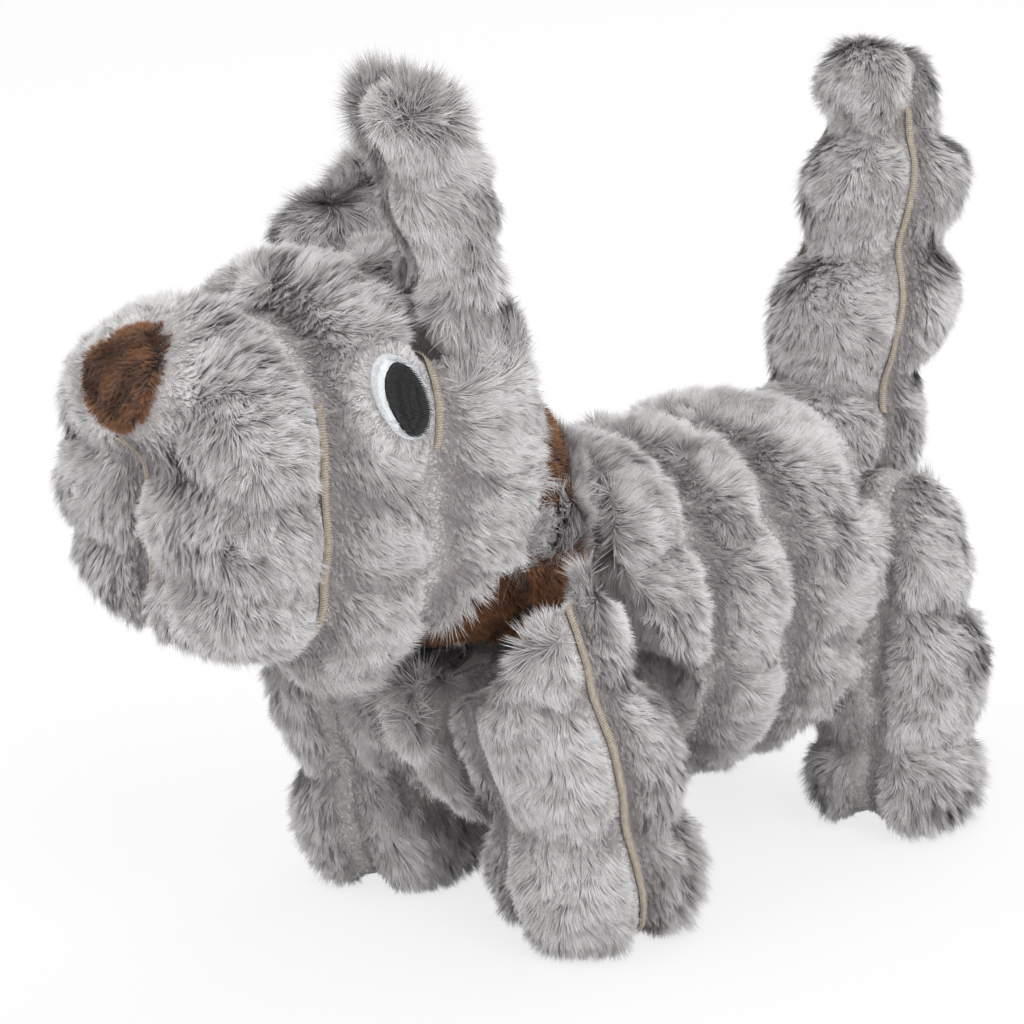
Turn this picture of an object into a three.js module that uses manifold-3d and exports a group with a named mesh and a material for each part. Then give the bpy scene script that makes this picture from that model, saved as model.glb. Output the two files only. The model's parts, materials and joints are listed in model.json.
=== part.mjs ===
// Plush dog toy, standing, as its sewn panels, stuffing and squeaker.
// Millimetres. +Z up, the dog looks along -Y, its left side is +X.
import * as THREE from 'three';
import Module from 'manifold-3d';

const wasm = await Module();
wasm.setup();

// clearances
const gap = 0.3;              // between neighbouring pieces
const halfGap = gap / 2;
const slip = 0.3;             // between surfaces that turn on one another
const pile = 6;               // thickness of the fur fabric, backing and pile together
const big = 400;              // larger than the toy
const wide = 70;              // more than half the toy's width
const reach = 1;              // how far a cutter passes the face it cuts
const least = 1;              // smallest half width of a form
const fullTurn = 360;         // degrees
const sides = { form: 20, filling: 12, limb: 14, limbFilling: 8, ear: 12, earFilling: 8, ball: 20, mark: 24 };
// outlines that stand for a part as it moves: sides, growth beyond the slip, and the rows they keep
const headCover = { sides: 16, extra: 1.4, rows: [1, 2, 3, 8, 12, 13, 14] };
const legCover = { sides: 12, extra: 1.7, rows: [0, 2, 3, 5, 6, 9, 10, 11] };
const earCoverOf = { sides: 8, extra: 1.7, rows: [1, 2, 4, 8, 9, 10] };

// Every form is rows of shares of its own sizes.
// Along Y: [along, rise of the middle, half width, up, down].
// Up a limb: [up, aside, back, half width, half length].

// body, along Y from the chest to the rump
const body = { front: -104, length: 213.5, z: 70, halfWidth: 54, halfHeight: 50 };
const bodyShares = [
  [0, -0.08, 0.13, 0.18, 0.16], [0.019, -0.08, 0.315, 0.4, 0.28], [0.061, -0.08, 0.556, 0.64, 0.46],
  [0.117, -0.06, 0.722, 0.77, 0.76], [0.178, -0.04, 0.815, 0.9, 0.9], [0.253, -0.02, 0.889, 0.99, 0.98],
  [0.337, 0, 0.963, 1.02, 1], [0.403, 0, 0.972, 1, 1], [0.445, 0, 0.926, 0.93, 0.94],
  [0.468, 0, 0.852, 0.85, 0.86], [0.492, 0, 0.926, 0.93, 0.95], [0.532, 0, 0.981, 0.99, 1.02],
  [0.571, 0, 0.926, 0.94, 0.97], [0.595, 0, 0.861, 0.87, 0.9], [0.618, 0, 0.944, 0.95, 0.99],
  [0.684, 0, 1, 1, 1.05], [0.745, 0, 0.944, 0.95, 0.99], [0.768, 0, 0.87, 0.88, 0.9],
  [0.792, 0, 0.926, 0.94, 0.96], [0.848, -0.02, 0.88, 0.96, 0.98], [0.904, -0.04, 0.769, 0.88, 0.92],
  [0.946, -0.06, 0.611, 0.72, 0.76], [0.981, -0.08, 0.407, 0.48, 0.52], [1, -0.08, 0.185, 0.24, 0.24],
];
const seamShares = [0.225, 0.468, 0.595, 0.768];    // chest to band 1, band 1 to 2, 2 to 3, 3 to rump
// how strongly the seams curve forward at the sides: [along, strength]
const fanShares = [[0, 0], [0.225, 0.2], [0.468, 0.5], [0.595, 0.3], [0.768, 0.12], [1, 0]];
const fanFlat = 16;                          // half the width over which they stay nearly straight
const bodyPower = 2.2;
// the filling inside the body, smooth under the bands
const bodyFillingShares = [
  [0.028, -0.08, 0.167, 0.2, 0.18], [0.089, -0.08, 0.537, 0.6, 0.52], [0.206, -0.04, 0.759, 0.8, 0.84],
  [0.347, 0, 0.796, 0.82, 0.82], [0.468, 0, 0.796, 0.79, 0.8], [0.595, 0, 0.806, 0.81, 0.84],
  [0.768, 0, 0.815, 0.82, 0.84], [0.871, -0.03, 0.741, 0.8, 0.82], [0.937, -0.06, 0.519, 0.6, 0.64],
  [0.972, -0.08, 0.259, 0.3, 0.34],
];

// head, along Y from the muzzle to the neck
const head = { front: -164, length: 102, z: 125, halfWidth: 54, halfHeight: 50 };
const headShares = [
  [0, -0.06, 0.407, 0.38, 0.36], [0.015, -0.06, 0.796, 0.62, 0.61], [0.069, -0.04, 0.963, 0.77, 0.76],
  [0.157, -0.02, 1.019, 0.87, 0.89], [0.245, 0, 0.981, 0.92, 0.95], [0.289, 0, 0.907, 0.91, 0.93],
  [0.324, 0, 0.833, 0.9, 0.93], [0.358, 0, 0.889, 0.96, 1.02], [0.461, 0.02, 0.944, 1.07, 1.08],
  [0.578, 0.02, 0.907, 1.06, 1], [0.618, 0.04, 0.833, 0.96, 0.9], [0.657, 0.04, 0.907, 1.04, 0.94],
  [0.784, 0.06, 0.926, 1.05, 0.86], [0.902, 0.06, 0.815, 0.96, 0.72], [0.971, 0.06, 0.574, 0.7, 0.46],
  [1, 0.06, 0.259, 0.32, 0.2],
];
const headFillingShares = [
  [0.098, -0.06, 0.648, 0.5, 0.52], [0.157, -0.04, 0.815, 0.68, 0.7], [0.245, -0.02, 0.833, 0.78, 0.82],
  [0.324, 0, 0.778, 0.85, 0.88], [0.461, 0.02, 0.796, 0.92, 0.92], [0.618, 0.04, 0.787, 0.91, 0.85],
  [0.784, 0.06, 0.796, 0.91, 0.74], [0.922, 0.06, 0.63, 0.76, 0.54], [0.971, 0.06, 0.352, 0.46, 0.26],
];
const muzzleShare = 0.324;                   // where the muzzle's panels end
const cheekShare = 0.618;                    // where the cheek bands end
const headPower = 2.5;
const chinZ = 84;
const headTurnDegrees = -15;                 // the head looks to the dog's right
const muzzleGroove = { width: 12, depth: 7 };

// neck ball that the head and body turn on
const neck = { y: -77, z: 112, r: 41.5, skin: 4, half: 30 };    // half is the reach of its filling
const collarTiltDegrees = 33;                // from upright, bottom forward
const collarHalf = 12;
const turnRangeDegrees = [-8, 22];
const nodRangeDegrees = [-8, 5];

// legs, the right one mirrored
const fore = { foot: 0, height: 112, x: 38, y: -60, halfWidth: 27, halfLength: 31 };
const foreShares = [
  [0, 0, -0.065, 0.611, 0.532], [0.027, 0, -0.048, 0.778, 0.677], [0.116, 0, 0.048, 0.926, 0.935],
  [0.223, 0, 0.032, 0.981, 1.016], [0.321, 0, -0.065, 0.907, 0.919], [0.429, -0.019, -0.145, 1, 1],
  [0.554, -0.056, -0.355, 1, 0.968], [0.661, -0.093, -0.548, 0.919, 0.823],
  [0.732, -0.111, -0.629, 0.944, 0.823], [0.821, -0.141, -0.694, 0.889, 0.742],
  [0.92, -0.167, -0.742, 0.685, 0.597], [1, -0.185, -0.774, 0.37, 0.387],
];
const foreFillingShares = [
  [0.036, 0, -0.048, 0.537, 0.468], [0.161, 0, 0.016, 0.741, 0.758], [0.321, 0, -0.065, 0.741, 0.758],
  [0.446, -0.026, -0.194, 0.778, 0.823], [0.571, -0.063, -0.419, 0.759, 0.774],
  [0.679, -0.096, -0.574, 0.741, 0.661], [0.786, -0.13, -0.677, 0.722, 0.613],
  [0.929, -0.167, -0.774, 0.407, 0.371],
];
const hind = { foot: 0, height: 103, x: 38, y: 66.5, halfWidth: 25.5, halfLength: 27 };
const hindShares = [
  [0, 0, 0, 0.647, 0.593], [0.029, 0, 0, 0.843, 0.778], [0.126, 0, -0.019, 0.98, 0.963],
  [0.214, 0, 0, 0.98, 0.981], [0.272, 0, 0.019, 0.922, 0.926], [0.359, 0, 0.056, 1, 1],
  [0.524, -0.059, 0.111, 0.98, 0.981], [0.631, -0.118, 0.111, 0.863, 0.87],
  [0.718, -0.149, 0.13, 0.886, 0.889], [0.835, -0.196, 0.159, 0.784, 0.815],
  [0.942, -0.216, 0.204, 0.549, 0.648], [1, -0.216, 0.204, 0.314, 0.37],
];
const hindFillingShares = [
  [0.039, 0, 0, 0.588, 0.537], [0.175, 0, -0.011, 0.765, 0.778], [0.35, 0, 0.056, 0.765, 0.833],
  [0.583, -0.098, 0.111, 0.706, 0.722], [0.835, -0.196, 0.185, 0.569, 0.648],
  [0.942, -0.216, 0.204, 0.314, 0.426], [0.966, -0.216, 0.204, 0.157, 0.222],
];
const legPower = 2.2;
const foreInner = 15;                        // inner face of a front leg from the middle plane
const rightInward = 7;                       // how much nearer the middle the right front leg stands
const hindInner = 20;
const foreHinge = { y: -78, z: 84 };
const hindHinge = { y: 73, z: 72 };
const legRangeDegrees = [-10, 10];
// line through the middle of a leg or the tail: x, y on the ground, and how it leans back per mm of height
const foreLine = { x: 37, y: -55, lean: -0.28 };
const hindLine = { x: 37, y: 66, lean: 0.08 };
const tailLine = { x: 0, y: 66, lean: 0.2 };
// where each panel begins: degrees from the front, round by the dog's left
const foreSeamDegrees = { front: -18, back: 82, inner: 205 };
const hindSeamDegrees = { front: -80, outer: 20, inner: 165 };
const tailSeamDegrees = { front: -80, back: 80 };

// tail
const tailBall = { y: 86, z: 102, r: 28 };
const tail = { foot: tailBall.z, height: 111, x: 0, y: tailBall.y, halfWidth: 27.5, halfLength: 30 };
const tailShares = [
  [0, 0, 0, 0.436, 0.4], [0.072, 0, 0.1, 0.764, 0.733], [0.162, 0, 0.25, 0.909, 0.9],
  [0.252, 0, 0.383, 0.982, 0.967], [0.342, 0, 0.483, 1, 1], [0.414, 0, 0.55, 0.945, 0.933],
  [0.477, 0, 0.583, 0.8, 0.783], [0.532, 0, 0.65, 0.873, 0.867], [0.631, 0, 0.717, 0.927, 0.917],
  [0.721, 0, 0.733, 0.836, 0.817], [0.775, 0, 0.667, 0.673, 0.633], [0.829, 0, 0.6, 0.691, 0.65],
  [0.901, 0, 0.567, 0.673, 0.617], [0.964, 0, 0.567, 0.527, 0.483], [1, 0, 0.567, 0.291, 0.283],
];
const tailFillingShares = [
  [-0.036, 0, 0, 0.618, 0.6], [0.162, 0, 0.233, 0.691, 0.683], [0.477, 0, 0.583, 0.636, 0.633],
  [0.775, 0, 0.667, 0.491, 0.483], [0.928, 0, 0.567, 0.327, 0.317],
];

// ears, drawn upright over the middle of the root ball
const earBall = { x: 30, y: -90, z: 172, r: 16 };
const ear = { foot: earBall.z, height: 55, x: earBall.x, y: earBall.y, halfWidth: 13, halfLength: 19 };
const earShares = [
  [0, 0, 0, 0.615, 0.526], [0.145, 0, -0.026, 0.769, 0.737], [0.255, 0, -0.053, 0.923, 0.921],
  [0.364, 0, -0.105, 1, 1], [0.491, 0, -0.168, 1, 1], [0.582, 0, -0.253, 0.923, 0.937],
  [0.636, 0, -0.316, 0.808, 0.842], [0.691, 0, -0.421, 0.923, 0.921], [0.836, 0, -0.553, 0.923, 0.895],
  [0.945, 0, -0.658, 0.692, 0.711], [1, 0, -0.658, 0.346, 0.395],
];
const earRangeDegrees = [-10, 10];
// at rest: degrees outward, backward and about itself
const earRestLeftDegrees = { lean: 2, back: -4, twist: 0 };
const earRestRightDegrees = { lean: 4, back: 64, twist: 80 };
const earFillingShares = [
  [0, 0, 0, 0.462, 0.421], [0.291, 0, -0.079, 0.577, 0.658], [0.636, 0, -0.316, 0.5, 0.579],
  [0.909, 0, -0.579, 0.385, 0.447],
];
const earPile = 4;

// nose and eyes
const nose = { z: 152.5, back: -143, halfWidth: 17, halfHeight: 11.5, proud: 3, sunk: 2, slack: 0.7 };
const eyeLeanDegrees = 12;
const eye = { y: -114, z: 151, inner: 20, halfWidth: 6.6, halfHeight: 9.8, proud: 1, sunk: 1.5 };
const pupil = { back: 0.9, drop: 0.5, halfWidth: 5.1, halfHeight: 8.4, proud: 1.6, sunk: 0.2 };

// squeaker
const squeaker = {
  y: 24, z: 68, r: 15, half: 16, wall: 1.2, fit: 0.5, flatten: 0.6, rows: 4, around: 14,
};
const reed = { r: 5, length: 9, bore: 2, recess: 0.5, sides: 12 };

const roundPower = 2;                        // a plain oval
const rad = THREE.MathUtils.degToRad;

// rows in millimetres from rows of shares
const rowsAlong = (shares, form) => shares.map(([along, rise, width, up, down]) => [
  form.front + along * form.length, form.z + rise * form.halfHeight, width * form.halfWidth,
  up * form.halfHeight, down * form.halfHeight,
]);
const rowsUp = (shares, form) => shares.map(([up, aside, back, width, length]) => [
  form.foot + up * form.height, form.x + aside * form.halfWidth, form.y + back * form.halfLength,
  width * form.halfWidth, length * form.halfLength,
]);
const bodySections = rowsAlong(bodyShares, body);
const headSections = rowsAlong(headShares, head);
const seamY = seamShares.map((share) => body.front + share * body.length);
const muzzleY = head.front + muzzleShare * head.length;
const cheekY = head.front + cheekShare * head.length;

function toManifold(points, faces) {
  return new wasm.Manifold(new wasm.Mesh({
    numProp: 3, vertProperties: new Float32Array(points.flat()), triVerts: new Uint32Array(faces.flat()),
  }));
}

// closed solid through rings of points, each end gathered to its middle
function skinRings(rings, ends) {
  const n = rings[0].length;
  const points = rings.flat();
  const faces = [];
  for (let r = 0; r < rings.length - 1; r++) {
    for (let i = 0; i < n; i++) {
      const a = r * n + i;
      const b = r * n + ((i + 1) % n);
      faces.push([a, b, b + n], [a, b + n, a + n]);
    }
  }
  const first = points.push(ends[0]) - 1;
  const last = points.push(ends[1]) - 1;
  const top = (rings.length - 1) * n;
  for (let i = 0; i < n; i++) {
    faces.push([first, (i + 1) % n, i], [last, top + i, top + ((i + 1) % n)]);
  }
  return toManifold(points, faces);
}

function rounded(angle, power, a, up, down) {
  const c = Math.cos(angle);
  const s = Math.sin(angle);
  const x = a * Math.sign(c) * Math.abs(c) ** (2 / power);
  const z = (s > 0 ? up : down) * Math.sign(s) * Math.abs(s) ** (2 / power);
  return [x, z];
}

// solid along Y; grow is how far its skin moves outward
function alongY(sections, power, sides, grow = 0, bend = () => 0) {
  const rings = sections.map(([y, zc, a, up, down], k) => {
    const edge = k < 2 ? -grow : k > sections.length - 3 ? grow : 0;
    return Array.from({ length: sides }, (_, i) => {
      const [x, z] = rounded((2 * Math.PI * i) / sides, power,
        Math.max(a + grow, least), Math.max(up + grow, least), Math.max(down + grow, least));
      const yy = y + edge;
      return [x, yy - bend(yy) * run(x), zc + z];
    });
  });
  const [y0, z0] = sections[0];
  const [y1, z1] = sections[sections.length - 1];
  return skinRings(rings.map((ring) => [...ring].reverse()), [[0, y0 - grow, z0], [0, y1 + grow, z1]]);
}

// solid along Z from [z, x, y, half x, half y] rows
function alongZ(rows, power, sides, grow = 0, floor = false) {
  const last = rows.length - 1;
  const lift = (k) => (k === 0 && !floor ? -grow : k === last ? grow : 0);
  const rings = rows.map(([z, x, y, a, b], k) => Array.from({ length: sides }, (_, i) => {
    const [dx, dy] = rounded((2 * Math.PI * i) / sides, power,
      Math.max(a + grow, least), Math.max(b + grow, least), Math.max(b + grow, least));
    return [x + dx, y + dy, z + lift(k)];
  }));
  const end = (k) => [rows[k][1], rows[k][2], rows[k][0] + lift(k)];
  return skinRings(rings, [end(0), end(last)]);
}

function block(x0, x1, y0, y1, z0, z1) {
  const g = new THREE.BoxGeometry(x1 - x0, y1 - y0, z1 - z0);
  g.translate((x0 + x1) / 2, (y0 + y1) / 2, (z0 + z1) / 2);
  return fromGeometry(g);
}

function fromGeometry(g) {
  const p = g.getAttribute('position');
  const seen = new Map();
  const points = [];
  const map = [];
  for (let i = 0; i < p.count; i++) {
    const v = [p.getX(i), p.getY(i), p.getZ(i)];
    const key = v.map((c) => Math.round(c * 1e4)).join();
    if (!seen.has(key)) { seen.set(key, points.length); points.push(v); }
    map.push(seen.get(key));
  }
  const faces = [];
  const index = g.index ? Array.from(g.index.array) : Array.from({ length: p.count }, (_, i) => i);
  for (let i = 0; i < index.length; i += 3) {
    const t = [map[index[i]], map[index[i + 1]], map[index[i + 2]]];
    if (new Set(t).size === 3) faces.push(t);
  }
  return toManifold(points, faces);
}

function ball(x, y, z, r, around, bands = Math.round(around / 2), turned = 0) {
  const g = new THREE.SphereGeometry(r, around, bands);
  g.rotateX(Math.PI / 2);
  g.rotateZ(turned);
  g.translate(x, y, z);
  return fromGeometry(g);
}

// socket whose flat faces all stay outside a ball of this radius, their middles set opposite its corners
function socket(x, y, z, r, around) {
  const bands = Math.round(around / 2) + 1;
  const depth = Math.cos(Math.PI / around) * Math.cos(Math.PI / (2 * bands));
  return ball(x, y, z, (r + slip) / depth, around, bands, Math.PI / around);
}

const alongX = new THREE.Matrix4().set(0, 0, 1, 0, 1, 0, 0, 0, 0, 1, 0, 0, 0, 0, 0, 1);
const backAlongY = new THREE.Matrix4().set(1, 0, 0, 0, 0, 0, -1, 0, 0, 1, 0, 0, 0, 0, 0, 1);
// rod of a closed outline in the plane across its direction
function rod(outline, direction, from, to) {
  const shape = new THREE.Shape(outline.map(([u, v]) => new THREE.Vector2(u, v)));
  const g = new THREE.ExtrudeGeometry(shape, { depth: to - from, bevelEnabled: false });
  g.translate(0, 0, direction === 'y' ? -to : from);
  if (direction === 'x') g.applyMatrix4(alongX);
  if (direction === 'y') g.applyMatrix4(backAlongY);
  return fromGeometry(g);
}

function oval(cu, cv, a, b, lean, sides) {
  const t = rad(lean);
  return Array.from({ length: sides }, (_, i) => {
    const p = (2 * Math.PI * i) / sides;
    const u = a * Math.cos(p);
    const v = b * Math.sin(p);
    return [cu + u * Math.cos(t) - v * Math.sin(t), cv + u * Math.sin(t) + v * Math.cos(t)];
  });
}

function moved(solid, matrix) {
  return solid.transform(matrix.elements);
}

function turnAbout(point, axis, degrees) {
  const m = new THREE.Matrix4().makeTranslation(...point);
  m.multiply(new THREE.Matrix4().makeRotationAxis(new THREE.Vector3(...axis).normalize(), rad(degrees)));
  return m.multiply(new THREE.Matrix4().makeTranslation(...point.map((c) => -c)));
}

const mirrorX = new THREE.Matrix4().makeScale(-1, 1, 1);
const flipped = (s) => moved(s, mirrorX);
const rightFore = new THREE.Matrix4().makeTranslation(rightInward, 0, 0).multiply(mirrorX);

// convex cover of a solid in each of some positions
function sweptCover(solid, matrices) {
  return wasm.Manifold.hull(matrices.map((m) => moved(solid, m)));
}

const group = new THREE.Group();
const colours = {
  fur: 0x9a9693, brown: 0x6a4a36, white: 0xe6e8ea, black: 0x1c1c1e,
  filling: 0xf0f0ee, vinyl: 0xd9dde0,
};

function add(name, solid, colour) {
  const pieces = solid.decompose().sort((a, b) => b.volume() - a.volume());
  const mesh = pieces[0].getMesh();
  const g = new THREE.BufferGeometry();
  g.setAttribute('position', new THREE.BufferAttribute(new Float32Array(mesh.vertProperties), 3));
  g.setIndex(new THREE.BufferAttribute(new Uint32Array(mesh.triVerts), 1));
  const out = new THREE.Mesh(g, new THREE.MeshStandardMaterial({ color: colours[colour], roughness: 0.9 }));
  out.name = name;
  group.add(out);
}

// body and head forms
function fan(y) {
  const along = (y - body.front) / body.length;
  const next = fanShares.findIndex(([share]) => share > along);
  if (next < 1) return 0;
  const [before, weak] = fanShares[next - 1];
  const [after, strong] = fanShares[next];
  return weak + ((strong - weak) * (along - before)) / (after - before);
}
// how far forward a seam has run at this distance from the middle plane
const run = (x) => Math.hypot(x, fanFlat) - fanFlat;
// everything behind a curved seam
function behindSeam(y, offset) {
  const steps = 14;
  const line = Array.from({ length: steps + 1 }, (_, i) => {
    const x = -wide + (2 * wide * i) / steps;
    return [x, y + offset - fan(y) * run(x)];
  });
  return rod([[-wide, big], ...line, [wide, big]], 'z', -big, big);
}
const bodyOut = alongY(bodySections, bodyPower, sides.form, 0, fan);
const bodyIn = (grow) => alongY(rowsAlong(bodyFillingShares, body), bodyPower, sides.filling, grow);
const headAt = (grow) => alongY(headSections, headPower, sides.form, grow);
const headIn = (grow) => alongY(rowsAlong(headFillingShares, head), headPower, sides.filling, grow);

const neckPoint = [0, neck.y, neck.z];
const headPose = turnAbout(neckPoint, [0, 0, 1], headTurnDegrees);
const neckCut = socket(0, neck.y, neck.z, neck.r, sides.ball);

// room that the head takes up as it turns and nods
const only = (rows, cover) => rows.filter((_, i) => cover.rows.includes(i));
const headOutline = alongY(only(headSections, headCover), headPower, headCover.sides, slip + headCover.extra);
const headRoom = sweptCover(headOutline,
  turnRangeDegrees.flatMap((t) => [...nodRangeDegrees, 0].map((n) => turnAbout(
    neckPoint, [0, 0, 1], headTurnDegrees + t)
    .multiply(turnAbout(neckPoint, [1, 0, 0], n)))));

// legs
function makeLeg(form, shares, fillingShares, inner, hinge) {
  const sections = rowsUp(shares, form);
  const filling = rowsUp(fillingShares, form);
  const keep = block(inner, big, -big, big, -reach, big);
  return {
    outer: alongZ(sections, legPower, sides.limb, 0, true).intersect(keep),
    core: alongZ(filling, legPower, sides.limbFilling).intersect(keep),
    inner: alongZ(filling, legPower, sides.limbFilling, gap),
    swept: sweptCover(alongZ(only(sections, legCover), legPower, legCover.sides, slip + legCover.extra, true)
      .intersect(block(inner - slip, big, -big, big, -big, big)),
    [legRangeDegrees[0], 0, legRangeDegrees[1]].map((a) => turnAbout([0, hinge.y, hinge.z], [1, 0, 0], a))),
  };
}
// how far a ball above a leg's hinge moves as the leg swings
const swing = (b, hinge) => Math.hypot(b.y - hinge.y, b.z - hinge.z) * Math.sin(rad(legRangeDegrees[1]));
const roomAt = (b, hinge) => socket(0, b.y, b.z, b.r + swing(b, hinge), sides.limb);
const foreLeg = makeLeg(fore, foreShares, foreFillingShares, foreInner, foreHinge);
const hindLeg = makeLeg(hind, hindShares, hindFillingShares, hindInner, hindHinge);

// legs lose the room of the head in every position of both
const headRoomForLegs = sweptCover(headRoom, [0, -legRangeDegrees[1], legRangeDegrees[1]].map(
  (a) => turnAbout([0, foreHinge.y, foreHinge.z], [1, 0, 0], a)));

// solid from an outline round a leaning line through the middle of a leg
function aroundLine(line, outline) {
  const lean = new THREE.Matrix4().set(1, 0, 0, line.x, 0, 1, line.lean, line.y, 0, 0, 1, 0, 0, 0, 0, 1);
  return moved(rod(outline, 'z', -big, big), lean);
}
// direction of a seam: degrees from the front, round by the outside
const toward = (degrees, r) => [r * Math.sin(rad(degrees)), -r * Math.cos(rad(degrees))];
function sector(line, from, to) {
  return aroundLine(line, [[0, 0], toward(from, wide), toward((from + to) / 2, wide), toward(to, wide)]);
}
function slit(line, degrees) {
  const [u, v] = toward(degrees, wide);
  const [a, b] = toward(degrees + 90, halfGap);
  return aroundLine(line, [[-a, -b], [u - a, v - b], [u + a, v + b], [a, b]]);
}

// a shell's panels between its seams: [name, solid]
function panelsOf(shell, line, seams) {
  const edges = Object.values(seams);
  const open = edges.reduce((s, d) => s.subtract(slit(line, d)), shell);
  return Object.entries(seams).map(([name, from], i) => {
    const to = i + 1 < edges.length ? edges[i + 1] : edges[0] + fullTurn;
    return [name, open.intersect(sector(line, from, to))];
  });
}

function addLeg(place, leg, side, line, seams, room) {
  const flip = (s) => (side === 'left' ? s : moved(s, place === 'front' ? rightFore : mirrorX));
  const cut = (s) => room.reduce((a, b) => a.subtract(b), flip(s));
  for (const [name, panel] of panelsOf(leg.outer.subtract(leg.inner), line, seams)) {
    add(`${place}_leg_${name}_panel_${side}`, cut(panel), 'fur');
  }
  add(`${place}_leg_stuffing_${side}`, cut(leg.core), 'filling');
}
for (const side of ['left', 'right']) {
  addLeg('front', foreLeg, side, foreLine, foreSeamDegrees, [headRoomForLegs, roomAt(neck, foreHinge)]);
  addLeg('hind', hindLeg, side, hindLine, hindSeamDegrees, [roomAt(tailBall, hindHinge)]);
}

// body: what the head, the legs and the tail don't need
const tailCut = socket(0, tailBall.y, tailBall.z, tailBall.r, sides.limb);
const bodyRoom = [neckCut, headRoom, tailCut, foreLeg.swept, moved(foreLeg.swept, rightFore),
  hindLeg.swept, flipped(hindLeg.swept)];
const fromBody = (s) => bodyRoom.reduce((a, b) => a.subtract(b), s);
const bodyShell = fromBody(bodyOut.subtract(bodyIn(gap)));
const bodyCore = fromBody(bodyIn(0));
const leftHalf = block(halfGap, big, -big, big, -big, big);
const rightHalf = flipped(leftHalf);
const between = (s, y0, y1) => s.intersect(behindSeam(y0, halfGap)).subtract(behindSeam(y1, -halfGap));
const chest = bodyShell.subtract(behindSeam(seamY[0], -halfGap));
add('chest_panel_left', chest.intersect(leftHalf), 'fur');
add('chest_panel_right', chest.intersect(rightHalf), 'fur');
for (let i = 0; i < 3; i++) add(`body_band_${i + 1}`, between(bodyShell, seamY[i], seamY[i + 1]), 'fur');
const rump = bodyShell.intersect(behindSeam(seamY[3], halfGap));
add('rump_panel_left', rump.intersect(leftHalf), 'fur');
add('rump_panel_right', rump.intersect(rightHalf), 'fur');

// squeaker in the middle of the filling, its reed in its rear end
function bulbOf({ y, z, r, half, flatten, rows: count, around }, grow) {
  const rows = [];
  for (let i = 1; i < count; i++) {
    const t = (Math.PI / 2) * (i / count);
    rows.push([y - half - grow + (r + grow) * (1 - Math.sin(t)) * flatten, (r + grow) * Math.sin(t)]);
  }
  const ring = ([yy, rr]) => Array.from({ length: around }, (_, i) => {
    const a = (2 * Math.PI * i) / around;
    return [rr * Math.cos(a), yy, z + rr * Math.sin(a)];
  }).reverse();
  const all = [...rows, ...rows.map(([yy, rr]) => [2 * y - yy, rr]).reverse()];
  return skinRings(all.map(ring), [[0, y - half - grow, z], [0, y + half + grow, z]]);
}
const bulb = bulbOf(squeaker, 0);
const bulbHollow = bulbOf(squeaker, -squeaker.wall);
const reedEnd = squeaker.y + squeaker.half;
const reedHole = (r, y0, y1) => rod(oval(0, squeaker.z, r, r, 0, reed.sides), 'y', y0, y1);
const bulbRoom = bulbOf(squeaker, squeaker.fit);
const reedSlot = reedHole(reed.r + gap, reedEnd - reed.length, reedEnd + reach);
add('squeaker_bulb', bulb.subtract(bulbHollow).subtract(reedSlot), 'vinyl');
add('squeaker_reed', reedHole(reed.r, reedEnd - reed.length, reedEnd - reed.recess)
  .subtract(reedHole(reed.bore, reedEnd - reed.length - reach, reedEnd + reach)), 'vinyl');
const filling = bodyCore.subtract(bulbRoom).subtract(reedSlot);
add('body_stuffing_front', filling.subtract(behindSeam(squeaker.y, -halfGap)), 'filling');
add('body_stuffing_rear', filling.intersect(behindSeam(squeaker.y, halfGap)), 'filling');

// neck: a brown band on a ball of filling
const tilt = new THREE.Matrix4().makeTranslation(0, neck.y, neck.z)
  .multiply(new THREE.Matrix4().makeRotationX(rad(collarTiltDegrees)));
const neckSlab = (from, to) => moved(block(-big, big, from, to, -big, big), tilt);
const neckBall = (r, around) => ball(0, neck.y, neck.z, r, around);
add('collar', neckBall(neck.r, sides.ball).subtract(neckBall(neck.r - neck.skin, sides.limb))
  .intersect(neckSlab(-collarHalf, collarHalf)), 'brown');
add('neck_stuffing', neckBall(neck.r - neck.skin - gap, sides.limb)
  .intersect(neckSlab(-neck.half, neck.half)), 'filling');

// tail: a front and a back panel on a filling, its root a ball
function tailOf(shares, r, around, grow) {
  return alongZ(rowsUp(shares, tail), roundPower, around, grow)
    .add(ball(0, tailBall.y, tailBall.z, r + grow, around));
}
const tailShell = tailOf(tailShares, tailBall.r, sides.limb, 0)
  .subtract(tailOf(tailFillingShares, tailBall.r - pile, sides.limbFilling, gap));
const tailCore = tailOf(tailFillingShares, tailBall.r - pile, sides.limbFilling, 0);
for (const [name, panel] of panelsOf(tailShell, tailLine, tailSeamDegrees)) {
  add(`tail_${name}_panel`, panel, 'fur');
}
add('tail_stuffing', tailCore, 'filling');

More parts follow.
